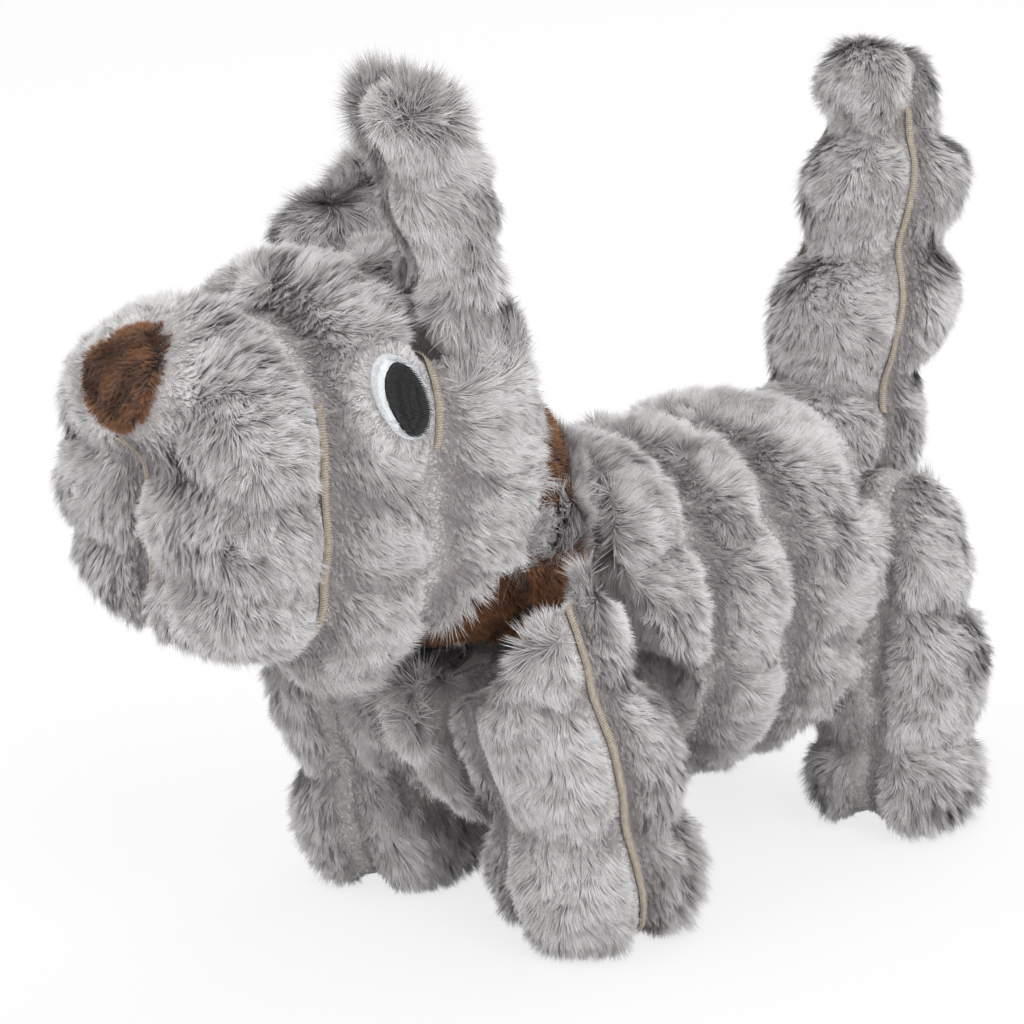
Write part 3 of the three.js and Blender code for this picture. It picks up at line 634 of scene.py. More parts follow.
class Cloth:
    """A closed surface as arrays."""

    def __init__(self, thing: Thing) -> None:
        """Reads the surface of an object, whose mesh is then the cloth's own."""
        self.thing = thing
        self.places = numbers(self.mesh.vertices, "co", 3)

    @classmethod
    def around(cls, name: str, nodes: list[Thing], voxel: float, relax_steps: int) -> Cloth:
        """Makes one closed surface round some solids.

        Args:
            name: the object's name.
            nodes: the solids that it goes round.
            voxel: the size of its facets.
            relax_steps: how many times it is smoothed.

        Returns:
            The surface.
        """
        shell = bmesh.new()
        for node in nodes:
            shell.from_mesh(node.data)
        bmesh.ops.remove_doubles(shell, verts=shell.verts, dist=0.001 * MM)
        mesh = bpy.data.meshes.new(name)
        shell.to_mesh(mesh)
        shell.free()
        rough = link(bpy.data.objects.new(name + "_rough", mesh))
        remesh = rough.modifiers.new("remesh", "REMESH")
        remesh.mode = "VOXEL"
        remesh.voxel_size = voxel
        made = cls(plain_copy(rough, name))
        bpy.data.objects.remove(rough)
        made.relax(relax_steps)
        return made

    @property
    def mesh(self) -> bpy.types.Mesh:
        """The surface's mesh."""
        return self.thing.data

    @property
    def normals(self) -> np.ndarray:
        """The outward direction at every vertex."""
        return numbers(self.mesh.vertex_normals, "vector", 3)

    @property
    def faces(self) -> list[tuple[int, ...]]:
        """The corners of every face."""
        return [tuple(p.vertices) for p in self.mesh.polygons]

    def write(self) -> None:
        """Puts the places back into the mesh."""
        self.mesh.vertices.foreach_set("co", self.places.ravel())
        self.mesh.update()

    def relax(self, steps: int) -> None:
        """Smooths the surface without shrinking it.

        Args:
            steps: how many pairs of a shrinking and a swelling step.
        """
        edges = numbers(self.mesh.edges, "vertices", 2, np.int32)
        count = np.bincount(edges.ravel(), minlength=len(self.places))[:, None]
        for share in (0.6, -0.62) * steps:
            total = np.zeros_like(self.places)
            for start, end in ((0, 1), (1, 0)):
                for axis in range(3):
                    total[:, axis] += np.bincount(
                        edges[:, start], self.places[edges[:, end], axis], minlength=len(self.places))
            self.places += share * (total / np.maximum(count, 1) - self.places)
        self.write()

    def spread(self, values: np.ndarray, steps: int, least: bool = False) -> np.ndarray:
        """Mixes each vertex's value with its neighbours'.

        Args:
            values: a number or a row for each vertex.
            steps: how many neighbours far.
            least: whether the smallest is taken instead of the mean.

        Returns:
            The mixed values.
        """
        ends = numbers(self.mesh.edges, "vertices", 2, np.int32)
        mixed = values.copy()
        for _ in range(steps):
            old = mixed.copy()
            for here, there in ((ends[:, 0], ends[:, 1]), (ends[:, 1], ends[:, 0])):
                (np.minimum if least else np.add).at(mixed, here, old[there])
            if not least:
                mixed = (mixed.T / (1 + np.bincount(ends.ravel(), minlength=len(values)))).T
        return mixed

    def finer(self) -> Cloth:
        """Divides every face of the surface once.

        Returns:
            The finer surface, as a cloth of its own.
        """
        modifier = self.thing.modifiers.new("round", "SUBSURF")
        modifier.levels = modifier.render_levels = 1
        made = Cloth(plain_copy(self.thing, self.thing.name + "_finer"))
        self.thing.modifiers.remove(modifier)
        return made

    def tree(self) -> BVHTree:
        """Returns a search tree of the surface."""
        return BVHTree.FromPolygons([Vector(p) for p in self.places], self.faces)

    def finish(self, material: Material) -> Thing:
        """Shades the surface smooth and gives it its material.

        Args:
            material: the material.

        Returns:
            The surface's object.
        """
        self.mesh.materials.clear()
        self.mesh.materials.append(material)
        shade_smooth(self.mesh)
        return self.thing


def lumps(points: np.ndarray, size: float, seed: float) -> np.ndarray:
    """Returns smooth random numbers from about -1 to 1 at points.

    Args:
        points: the places.
        size: how wide a lump is.
        seed: a shift that makes another pattern.
    """
    return np.array([noise.noise(Vector(p / size) + Vector((seed, seed, seed))) for p in points])


@dataclass
class Toy:
    """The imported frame, with what the pieces need to know of it."""

    frame: dict
    farthest: float = 80 * MM
    trees: dict[tuple[str, ...], BVHTree] = field(default_factory=dict)

    def tree_of(self, *names: str) -> BVHTree:
        """Makes a search tree of some solids, and keeps it for the next call.

        Args:
            names: the solids' names.

        Returns:
            The search tree.
        """
        if names not in self.trees:
            points, faces = [], []
            for name in names:
                mesh = self.frame["nodes"][name].data
                faces += [tuple(v + len(points) for v in p.vertices) for p in mesh.polygons]
                points += [Vector(p) for p in numbers(mesh.vertices, "co", 3)]
            self.trees[names] = BVHTree.FromPolygons(points, faces)
        return self.trees[names]

    def others(self, body: str) -> BVHTree:
        """Returns a search tree of every solid outside a body."""
        own = set(self.nodes_of(body))
        return self.tree_of(*(n for n in self.frame["nodes"] if n not in own))

    def nodes_of(self, body: str, *words: str) -> list[str]:
        """Returns the names of a body's solids that hold one of the words, or all of them."""
        names = self.frame["record"]["behaviour"]["bodies"][body]
        return [n for n in names if not words or any(w in n for w in words)]

    def distances(self, points: np.ndarray, names: list[str]) -> np.ndarray:
        """Measures how far points are from solids.

        Args:
            points: the points.
            names: the solids' names.

        Returns:
            A row for each point and a column for each solid.
        """
        found = np.empty((len(points), len(names)))
        for column, name in enumerate(names):
            tree = self.tree_of(name)
            found[:, column] = [tree.find_nearest(Vector(p))[3] for p in points]
        return found

    def nearest(self, points: np.ndarray, *names: str) -> np.ndarray:
        """Returns the nearest points of some solids to points."""
        tree = self.tree_of(*names)
        return np.array([tree.find_nearest(Vector(p))[0] for p in points])

    def open_space(self, points: np.ndarray, directions: np.ndarray, reach: float, body: str) -> np.ndarray:
        """Measures the free way from points of a body to the others.

        Args:
            points: where the ways start.
            directions: where they go.
            reach: how far to look.
            body: the body that they start from.

        Returns:
            The free length of each way, 0 inside another body and reach where nothing stands in it.
        """
        tree = self.others(body)
        free = np.full(len(points), reach)
        for i, (place, way) in enumerate(zip(points, directions)):
            _, normal, _, apart = tree.ray_cast(Vector(place), Vector(way), self.farthest)
            if apart is not None:
                free[i] = 0.0 if normal.dot(Vector(way)) > 0 else min(apart, reach)
        return free


def blank_material(name: str) -> tuple[Material, Graph, bpy.types.Node]:
    """Returns a new material with its graph and its Principled shader.

    Args:
        name: the material's name.

    Returns:
        The material, its graph and its shader.
    """
    made = bpy.data.materials.new(name)
    made.use_nodes = True
    tree = made.node_tree
    return made, Graph(tree), next(n for n in tree.nodes if n.type == "BSDF_PRINCIPLED")


def shader_attribute(g: Graph, name: str) -> Socket:
    """Returns the number of a named attribute in a shader."""
    return g.node("ShaderNodeAttribute", {"attribute_name": name}).outputs["Fac"]


@dataclass(frozen=True)
class PileFinish:
    """Colours of a pile, from root to tip, and how far each thing shifts them along it."""

    root: tuple[float, float, float]
    middle: tuple[float, float, float]
    tip: tuple[float, float, float]
    roughness: float = 0.75
    specular: float = 0.2
    sheen: float = 0.2
    sheen_roughness: float = 0.5
    patch_size: float = 13 * MM
    patch_shift: float = 0.26
    tuft_shift: float = 0.13
    # shade_shift scales the shade attribute, which carries painted shade beside seams and painted shadow under
    # rib valleys
    shade_shift: float = 0.5
    tones: tuple[float, float] = (0.92, 1.06)

    def material(self, name: str) -> Material:
        """Makes the pile's material.

        Args:
            name: the material's name.

        Returns:
            The material.
        """
        made, g, shader = blank_material(name)
        place = g.node("ShaderNodeTexCoord").outputs["Object"]
        patches = g.node(
            "ShaderNodeTexNoise", None, Vector=place, Scale=1 / self.patch_size, Detail=4.0, Roughness=0.65,
        ).outputs[0]
        shift = g.math("ADD", g.ramp(patches, 0.3, 0.7, -self.patch_shift, self.patch_shift),
                       g.ramp(shader_attribute(g, "tuft"), 0.0, 1.0, -self.tuft_shift, self.tuft_shift))
        # shade darkens the colour with painted shade beside seams and painted shadow under rib valleys, and
        # lightens it at upper seam edges and round the nose and eyes
        shade = g.math("MULTIPLY", shader_attribute(g, "shade"), self.shade_shift)
        height = g.math("ADD", shader_attribute(g, "along"), g.math("ADD", shift, shade))
        low = g.mix_colours(g.ramp(height, 0.05, 0.55), (*self.root, 1.0), (*self.middle, 1.0))
        colour = g.mix_colours(g.ramp(height, 0.4, 0.95), low, (*self.tip, 1.0))
        tone = g.ramp(shader_attribute(g, "tone"), 0.0, 1.0, *self.tones)
        colour = g.mix_colours(1.0, colour, g.combine(tone, tone, tone), "MULTIPLY")
        g.fill(shader.inputs["Base Color"], colour)
        shader.inputs["Roughness"].default_value = self.roughness
        shader.inputs["Specular IOR Level"].default_value = self.specular
        shader.inputs["Sheen Weight"].default_value = self.sheen
        shader.inputs["Sheen Roughness"].default_value = self.sheen_roughness
        return made


@dataclass(frozen=True)
class ClothFinish:
    """A plain cloth, filling or thread with fine mottling and grain."""

    colour: tuple[float, float, float]
    dark: tuple[float, float, float]
    roughness: float = 0.8
    grain: float = 900.0
    bump: float = 0.3
    bump_height: float = 0.4 * MM

    def material(self, name: str) -> Material:
        """Makes the cloth's material.

        Args:
            name: the material's name.

        Returns:
            The material.
        """
        made, g, shader = blank_material(name)
        place = g.node("ShaderNodeTexCoord").outputs["Object"]
        grain = g.node(
            "ShaderNodeTexNoise", None, Vector=place, Scale=self.grain, Detail=3.0, Roughness=0.6).outputs[0]
        colour = g.mix_colours(g.ramp(grain, 0.35, 0.65), (*self.dark, 1.0), (*self.colour, 1.0))
        g.fill(shader.inputs["Base Color"], colour)
        bump = g.node("ShaderNodeBump", None, Strength=self.bump, Distance=self.bump_height, Height=grain)
        g.fill(shader.inputs["Normal"], bump.outputs[0])
        shader.inputs["Roughness"].default_value = self.roughness
        return made


class Wardrobe:
    """Every finish of the toy, made once."""

    def __init__(self) -> None:
        """Makes the materials."""
        self.fur = PileFinish(
            (0.34, 0.312, 0.316), (0.53, 0.508, 0.508), (0.80, 0.782, 0.782)).material("grey_fur")
        self.brown_pile = PileFinish(
            (0.12, 0.047, 0.02), (0.20, 0.085, 0.038), (0.31, 0.145, 0.07),
            patch_size=7 * MM, patch_shift=0.1, sheen=0.3,
        ).material("brown_pile")
        self.backing = ClothFinish((0.42, 0.395, 0.39), (0.30, 0.28, 0.28)).material("fur_backing")
        self.brown_cloth = ClothFinish((0.08, 0.035, 0.016), (0.045, 0.02, 0.01)).material("brown_backing")
        self.filling = ClothFinish((0.8, 0.8, 0.78), (0.7, 0.7, 0.68)).material("filling")
        self.tape = ClothFinish((0.44, 0.38, 0.31), (0.33, 0.28, 0.23)).material("seam_tape")
        self.stitch = ClothFinish((0.62, 0.54, 0.45), (0.50, 0.43, 0.35)).material("seam_stitch")
        self.white_thread = ClothFinish(
            (0.84, 0.87, 0.89), (0.70, 0.73, 0.75), roughness=0.4, grain=1500.0).material("white_thread")
        self.black_thread = ClothFinish(
            (0.028, 0.029, 0.031), (0.014, 0.014, 0.015), roughness=0.38, grain=1500.0).material("black_thread")
        self.shell = ClothFinish(
            (0.75, 0.75, 0.73), (0.7, 0.7, 0.68), roughness=0.35).material("squeaker_shell")


class StitchMaker(NodeMaker):
    """Sets stitches on points."""

    TITLE = "Stitches"
    INPUTS = (("Points", "Geometry"), ("Pattern", "Object"), ("Material", "Material"), ("Thickness", "Float"))
    GONE = ("aim", "up", "length")
    CORNERS = 4
    RINGS = ((-0.5, 0.4), (0.0, 1.0), (0.5, 0.4))
    GIRTHS = (0.85, 1.1)
    FLATNESS = 0.6

    def _pattern(self) -> Thing:
        """Makes the thread that each stitch copies.

        Returns:
            A short rounded thread along X, of length and width 1.
        """
        shell = bmesh.new()
        turns = [2 * math.pi * k / self.CORNERS for k in range(self.CORNERS)]
        rings = [
            [shell.verts.new((x, girth * 0.5 * math.cos(a), girth * 0.5 * math.sin(a))) for a in turns]
            for x, girth in self.RINGS]
        for low, high in zip(rings, rings[1:]):
            for k in range(self.CORNERS):
                onward = (k + 1) % self.CORNERS
                shell.faces.new((low[k], low[onward], high[onward], high[k]))
        for end in (rings[0], rings[-1]):
            shell.faces.new(end)
        bmesh.ops.recalc_face_normals(shell, faces=shell.faces)
        mesh = bpy.data.meshes.new("thread_pattern")
        shell.to_mesh(mesh)
        shell.free()
        shade_smooth(mesh)
        return bpy.data.objects.new("thread_pattern", mesh)

    def _fill(self, g: Graph, given: bpy.types.NodeOutputs) -> Socket:
        """Adds the nodes that turn and size a thread on each point.

        Args:
            g: the tree's graph.
            given: the tree's inputs.

        Returns:
            The stitches' geometry.
        """
        turned = g.node(
            "FunctionNodeAxesToRotation", {"primary_axis": "X", "secondary_axis": "Z"},
            Primary_Axis=g.attribute("aim", "FLOAT_VECTOR"), Secondary_Axis=g.attribute("up", "FLOAT_VECTOR"))
        girth = g.math("MULTIPLY", given["Thickness"], g.random(*self.GIRTHS, 31))
        size = g.combine(g.attribute("length"), girth, g.math("MULTIPLY", girth, self.FLATNESS))
        return self.copies(g, given, given["Points"], Rotation=turned.outputs[0], Scale=size)

    def sew(self, name: str, marks: list[tuple], thickness: float, material: Material) -> Thing:
        """Sets a stitch at each mark.

        Args:
            name: the new piece's name.
            marks: the middle, direction, outward direction and length of each stitch.
            thickness: the thread's thickness.
            material: the thread's material.

        Returns:
            The stitches as one plain mesh object.
        """
        places, *rest = (np.array(column) for column in zip(*marks))
        mesh = bpy.data.meshes.new(name + "_points")
        mesh.from_pydata([tuple(p) for p in places], [], [])
        for key, values in zip(self.GONE, rest):
            store_values(mesh, key, values)
        return self.run(name, mesh, {"Material": material, "Thickness": thickness})


@dataclass
class Workshop:
    """What every sub-assembly is made with."""

    toy: Toy
    dress: Wardrobe
    pile: PileMaker
    stitches: StitchMaker


@dataclass(frozen=True)
class Seam:
    """A seam between two panels that shows its tape."""

    first: str
    second: str
    low: float = -1.0
    high: float = 1.0
    shift: float = 1.0 * MM
    rise: float = 1.4 * MM


@dataclass(frozen=True)
class Run:
    """A value that runs smoothly from one to another between two distances."""

    start: float
    end: float
    low: float
    high: float

    def at(self, distances: np.ndarray) -> np.ndarray:
        """Returns the value at distances."""
        return self.start + (self.end - self.start) * smooth_step(distances, self.low, self.high)


@dataclass(frozen=True)
class Comb:
    """How the pile changes beside a seam, at a valley between ribs and in a gap between bodies, with painted
    shade on the lower panel beside a seam and painted shadow under a valley.
    """

    cover_in_gap: Run = Run(0.0, 1.0, 0.4 * MM, 1.8 * MM)
    long_in_gap: Run = Run(0.6, 1.0, 0.0, 6 * MM)
    lift_in_gap: Run = Run(0.5, 1.0, 0.0, 6 * MM)
    long_on_upper: Run = Run(0.16, 1.0, 3.5 * MM, 11 * MM)
    long_on_lower: Run = Run(0.24, 1.0, 1.5 * MM, 11 * MM)
    lift_on_upper: Run = Run(0.42, 1.0, 2 * MM, 9 * MM)
    lift_on_lower: Run = Run(1.2, 1.0, 3 * MM, 11 * MM)
    shade_on_upper: Run = Run(0.55, 0.0, 2 * MM, 7 * MM)
    # Painted shade: the lower panel's pile darkens beside the seam, standing in for the shade in the crevice
    # under the upper panel's edge
    shade_on_lower: Run = Run(-0.8, 0.0, 1 * MM, 11 * MM)
    free_of_seam: Run = Run(0.0, 1.0, 2 * MM, 10 * MM)
    across_seam: Run = Run(0.8, 0.0, 2 * MM, 9 * MM)
    long_over_valley: Run = Run(0.85, 1.0, 0.0, 2 * MM)
    long_under_valley: Run = Run(0.5, 1.0, 0.5 * MM, 7 * MM)
    # Painted shadow: the pile just under each rib valley is darkened, standing in for the shadow under the
    # overhanging pile above it; the drop and width place it
    valley_dark: float = 0.55
    valley_drop: float = 1.5 * MM
    valley_width: float = 2.6 * MM
    edge_gap: float = 1.4 * MM
    shortest: float = 0.7 * MM


@dataclass
class FurBody:
    """The skin, the pile, the seams and the filling of one body."""

    shop: Workshop
    body: str
    groups: dict[str, tuple[str, ...]]
    seams: tuple[Seam, ...] = ()
    rule: PileRule = PileRule(length=6.4 * MM, width=0.34 * MM, strands_per_area=9.6e6, tuft_size=4.2 * MM)
    comb: Comb = Comb()
    flow: tuple[float, float, float] = (0.0, 0.0, -1.0)
    ribs: tuple[float, ...] = ()
    rib_depth: float = 3.0 * MM
    rib_wave: float = 1.6 * MM
    rib_wave_sizes: tuple[float, float] = (9.0 * MM, 7.0 * MM)
    rib_widths: tuple[float, float] = (3.0 * MM, 6.0 * MM)
    seam_depth: float = 3.6 * MM
    edge_depth: float = 1.6 * MM
    seam_width: float = 5.5 * MM
    lump: float = 1.0 * MM
    lump_size: float = 14 * MM
    inset: float = 3.4 * MM
    deepest: float = 0.38
    voxel: float = 4.0 * MM
    relax: int = 4
    swell: float = 2.6 * MM
    fill: float = 0.7
    seed: int = 1
    tape_width: float = 2.2 * MM
    thread: float = 0.5 * MM
    stitch_pitch: float = 0.62 * MM

    UNSEEN = 1.0  # a distance beyond every seam and rib
    LOOK_FROM = 0.3 * MM
    LOOK_AS_FAR = 9.0 * MM
    THICKEST = 40 * MM
    UNDER_SKIN = 0.4 * MM
    HELD_AT_SEAM = 2.5 * MM
    HELD_AT_RIB = 2.0 * MM
    HELD_NEAR_BODY = 5.0 * MM
    HELD_IF_THIN = 14.0 * MM
    SKEW_WAY = Vector((0.36, 0.48, 0.8))
    TAPE_PROFILE = ((-1.0, -0.5), (-0.6, 0.0), (0.6, 0.0), (1.0, -0.5))
    SHORTEST_SEAM = 8
    SEAM_SMOOTHINGS = 6
    TURN_START = 0.55
    TURN_RISE = 14 * MM
    TURN_LIFT = 0.35
    FILLING_DEPTH = 1.6 * MM
    FILLING_SHARE = 0.3
    FILLING_RETREATS = 10

    def __post_init__(self) -> None:
        """Lists the body's panels, of which an earlier one lies over a later one."""
        self.panels = [n for members in self.groups.values() for n in members]

    def cut(self) -> None:
        """Makes the skin before it is blown up, under the pile and creased at seams and ribs."""
        toy = self.shop.toy
        nodes = [toy.frame["nodes"][n] for n in toy.nodes_of(self.body)]
        self.skin = Cloth.around(self.body + "_skin", nodes, self.voxel, self.relax)
        outer = self.skin.places.copy()
        normals = self.skin.normals
        store_values(self.skin.mesh, "outer", outer)
        seam, ahead, _ = self.seam_field(outer)
        rib = self.rib_height(outer)
        crease = np.where(ahead, self.edge_depth, self.seam_depth) * np.exp(-((seam / self.seam_width) ** 2))
        over, under = self.rib_widths
        valley = self.rib_depth * np.exp(-((rib / np.where(rib > 0, over, under)) ** 2))
        dent = np.maximum(crease, valley) + self.lump * lumps(outer, self.lump_size, self.seed * 3.7)
        thick = self.thickness(outer, normals)
        share = self.depth_share(outer)
        depth = np.minimum((self.inset + dent) * share, self.deepest * thick)
        self.skin.places = outer - normals * depth[:, None]
        self.skin.write()
        self.skin.relax(1)
        self.held = (seam < self.HELD_AT_SEAM) | (np.abs(rib) < self.HELD_AT_RIB) | (share < 0.9)
        self.held |= (self.free_way(outer, normals) < self.HELD_NEAR_BODY) | (thick < self.HELD_IF_THIN)

    def free_way(self, outer: np.ndarray, normals: np.ndarray) -> np.ndarray:
        """Returns how far it is outwards from the surface to another body."""
        return self.shop.toy.open_space(
            outer + normals * self.LOOK_FROM, normals, self.LOOK_AS_FAR, self.body)

    def inside(self, tree: BVHTree, points: np.ndarray) -> np.ndarray:
        """Tells which points are inside a closed surface and well under it.

        Args:
            tree: the surface.
            points: the points.

        Returns:
            Whether each point is.
        """
        found = np.zeros(len(points), bool)
        for i, place in enumerate(points):
            start, crossed = Vector(place), 0
            apart = tree.find_nearest(start)[3]
            while (hit := tree.ray_cast(start, self.SKEW_WAY)[0]) is not None:
                start, crossed = hit + self.SKEW_WAY * 1e-6, crossed + 1
            found[i] = crossed % 2 == 1 and apart > self.UNDER_SKIN
        return found

    def thickness(self, points: np.ndarray, normals: np.ndarray) -> np.ndarray:
        """Measures how thick the body is under its surface, up to THICKEST.

        Args:
            points: places on the surface.
            normals: the outward directions there.

        Returns:
            The thickness at each place, evened out over its neighbours.
        """
        tree = self.skin.tree()
        found = np.full(len(points), self.THICKEST)
        start = 0.2 * MM
        for i, (place, outward) in enumerate(zip(points, normals)):
            hit = tree.ray_cast(Vector(place - outward * start), Vector(-outward), found[i])[3]
            if hit is not None:
                found[i] = hit + start
        return self.skin.spread(self.skin.spread(found, 2, True), 1)

    def depth_share(self, points: np.ndarray) -> np.ndarray:
        """Returns how much of its full depth the skin lies under the surface, 1 on plain cloth."""
        return np.ones(len(points))

    def seam_field(self, points: np.ndarray) -> tuple[np.ndarray, np.ndarray, np.ndarray]:
        """Measures the distance to the nearest seam.

        Args:
            points: places on the outer surface.

        Returns:
            The distance, whether the panel there lies over its neighbour, and the panel's number.
        """
        self.away = self.shop.toy.distances(points, self.panels)
        near = np.argsort(self.away, axis=1)
        label = near[:, 0]
        if len(self.panels) < 2:
            return np.full(len(points), self.UNSEEN), np.ones(len(points), bool), label
        self.second = near[:, 1]
        rows = np.arange(len(points))
        return self.away[rows, self.second] - self.away[rows, label], label < self.second, label

    def rib_height(self, points: np.ndarray) -> np.ndarray:
        """Measures the height over the nearest valley between the cloth's ribs.

        Args:
            points: places on the outer surface.

        Returns:
            The height of each place, below 0 under the valley.
        """
        if not self.ribs:
            return np.full(len(points), self.UNSEEN)
        across, back = self.rib_wave_sizes
        wave = self.rib_wave * (np.sin(points[:, 0] / across + self.seed) + np.sin(points[:, 1] / back))
        gaps = np.array([points[:, 2] + wave - level for level in self.ribs])
        return gaps[np.abs(gaps).argmin(axis=0), np.arange(len(points))]

    def lay(self, points: np.ndarray, normals: np.ndarray) -> np.ndarray:
        """Returns the direction in which the pile lies.

        Args:
            points: places on the skin.
            normals: the outward directions there.
        """
        flow = np.broadcast_to(np.array(self.flow), points.shape)
        return unit(flat(flow, normals))

    def groom(self, points: np.ndarray, values: dict[str, np.ndarray]) -> None:
        """Changes the pile's values where this body differs.

        Args:
            points: places on the outer surface.
            values: cover, long, lift, shade, free and lay at them, changed in place.
        """

    def bridge(
        self, points: np.ndarray, values: dict[str, np.ndarray], body: str, *,
        reach: float, longer: float, low: float = 0.0,
    ) -> None:
        """Combs the pile near another body towards it.

        Args:
            points: places on the outer surface.
            values: the pile's values at them, changed in place.
            body: the other body.
            reach: how far from it the pile turns.
            longer: how many times its length the pile has right beside it.
            low: the height under which nothing changes.
        """
        toward = self.shop.toy.nearest(points, *self.shop.toy.nodes_of(body)) - points
        share = 1 - smooth_step(np.linalg.norm(toward, axis=1), self.TURN_START * reach, reach)
        share *= smooth_step(points[:, 2], low, low + self.TURN_RISE)
        turn(values, unit(toward), share)
        values["long"] *= 1 + (longer - 1) * share
        values["lift"] *= 1 - self.TURN_LIFT * share

    def dress(self) -> None:
        """Grows the pile, sews the tapes and adds the filling."""
        comb = self.comb
        fine = self.skin.finer()
        outer = numbers(fine.mesh.attributes["outer"].data, "vector", 3)
        normals = fine.normals
        seam, ahead, label = self.seam_field(outer)
        rib = self.rib_height(outer)
        free = self.free_way(outer, normals)
        long = np.where(ahead, comb.long_on_upper.at(seam), comb.long_on_lower.at(seam))
        lift = np.where(ahead, comb.lift_on_upper.at(seam), comb.lift_on_lower.at(seam))
        valley = np.where(
            rib > 0, comb.long_over_valley.at(rib), comb.long_under_valley.at(np.maximum(-rib, 0.0)))
        # dark is the painted shadow just under each rib valley, standing in for the shadow under the
        # overhanging pile
        dark = comb.valley_dark * np.exp(-(((rib + comb.valley_drop) / comb.valley_width) ** 2))
        values = {
            "cover": comb.cover_in_gap.at(free),
            "long": long * comb.long_in_gap.at(free) * valley,
            "lift": lift * comb.lift_in_gap.at(free),
            # shade: paler upper edges at seams, painted shade on the lower panel beside a seam, less the
            # painted shadow under rib valleys
            "shade": np.where(ahead, comb.shade_on_upper.at(seam), comb.shade_on_lower.at(seam)) - dark,
            "free": comb.free_of_seam.at(seam),
            "lay": self.lay(fine.places, normals),
        }
        if len(self.panels) > 1:
            self.comb_to_seams(outer, normals, seam, ahead, values)
        self.groom(outer, values)
        pieces = self.grow(fine, label, values) + self.sew(fine, label)
        bpy.data.objects.remove(fine.thing)
        skin = self.skin.finish(self.shop.dress.backing)
        self.skin.mesh.attributes.remove(self.skin.mesh.attributes["outer"])
        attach(skin, self.body)
        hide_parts(*self.panels)
        for piece in (*pieces, skin, self.stuff()):
            LOG.info("%s: %d faces", piece.name, len(piece.data.polygons))

    def comb_to_seams(
        self, outer: np.ndarray, normals: np.ndarray, seam: np.ndarray, ahead: np.ndarray,
        values: dict[str, np.ndarray],
    ) -> None:
        """Turns the pile of an upper edge across its seam.

        Args:
            outer: places on the outer surface.
            normals: the outward directions there.
            seam: the distance to the nearest seam.
            ahead: whether the panel lies over its neighbour.
            values: the pile's values, changed in place.
        """
        comb = self.comb
        close = np.flatnonzero(ahead & (seam < comb.across_seam.high))
        toward = np.zeros_like(outer)
        for number, name in enumerate(self.panels):
            rows = close[self.second[close] == number]
            if len(rows):
                toward[rows] = self.shop.toy.nearest(outer[rows], name) - outer[rows]
        share = np.zeros(len(outer))
        share[close] = comb.across_seam.at(seam[close])
        turn(values, unit(flat(toward, normals)), share)
        room = np.maximum(seam[close] - comb.edge_gap, comb.shortest) / self.rule.length
        values["long"][close] = np.minimum(values["long"][close], room)

    def grow(self, fine: Cloth, label: np.ndarray, values: dict[str, np.ndarray]) -> list[Thing]:
        """Grows the pile, one piece for each group of panels.

        Args:
            fine: the skin with its faces divided.
            label: the number of the panel at each vertex.
            values: the pile's values at each vertex.

        Returns:
            The piles.
        """
        faces, cover, least = fine.faces, values["cover"], 0.02
        pieces = []
        for index, (group, members) in enumerate(self.groups.items()):
            wanted = {self.panels.index(m) for m in members}
            chosen = [f for f in faces if label[f[0]] in wanted and max(cover[list(f)]) > least]
            used = np.unique([v for f in chosen for v in f])
            place = {int(v): i for i, v in enumerate(used)}
            scalp = bpy.data.meshes.new(group + "_scalp")
            scalp.from_pydata(
                [tuple(p) for p in fine.places[used]], [], [tuple(place[v] for v in f) for f in chosen])
            shares = {key: rows[used] for key, rows in values.items()}
            pile = self.shop.pile.grow(
                group + "_pile", scalp, shares, self.rule, self.shop.dress.fur, self.seed * 31 + index)
            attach(pile, self.body)
            pieces.append(pile)
        return pieces

    def sew(self, fine: Cloth, label: np.ndarray) -> list[Thing]:
        """Lays a tape with stitches along each seam that shows one.

        Args:
            fine: the skin with its faces divided.
            label: the number of the panel at each vertex.

        Returns:
            The tapes and the stitches, or nothing.
        """
        points, faces, marks = [], [], []
        for seam in self.seams:
            for line in self.trace(fine, label, seam):
                self.lay_tape(seam, line, points, faces, marks)
        if not faces:
            return []
        mesh = bpy.data.meshes.new(self.body + "_seam_tape")
        mesh.from_pydata(points, [], faces)
        shade_smooth(mesh)
        mesh.materials.append(self.shop.dress.tape)
        tape = link(bpy.data.objects.new(self.body + "_seam_tape", mesh))
        stitches = self.shop.stitches.sew(
            self.body + "_seam_stitches", marks, self.thread, self.shop.dress.stitch)
        for piece in (tape, stitches):
            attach(piece, self.body)
        return [tape, stitches]

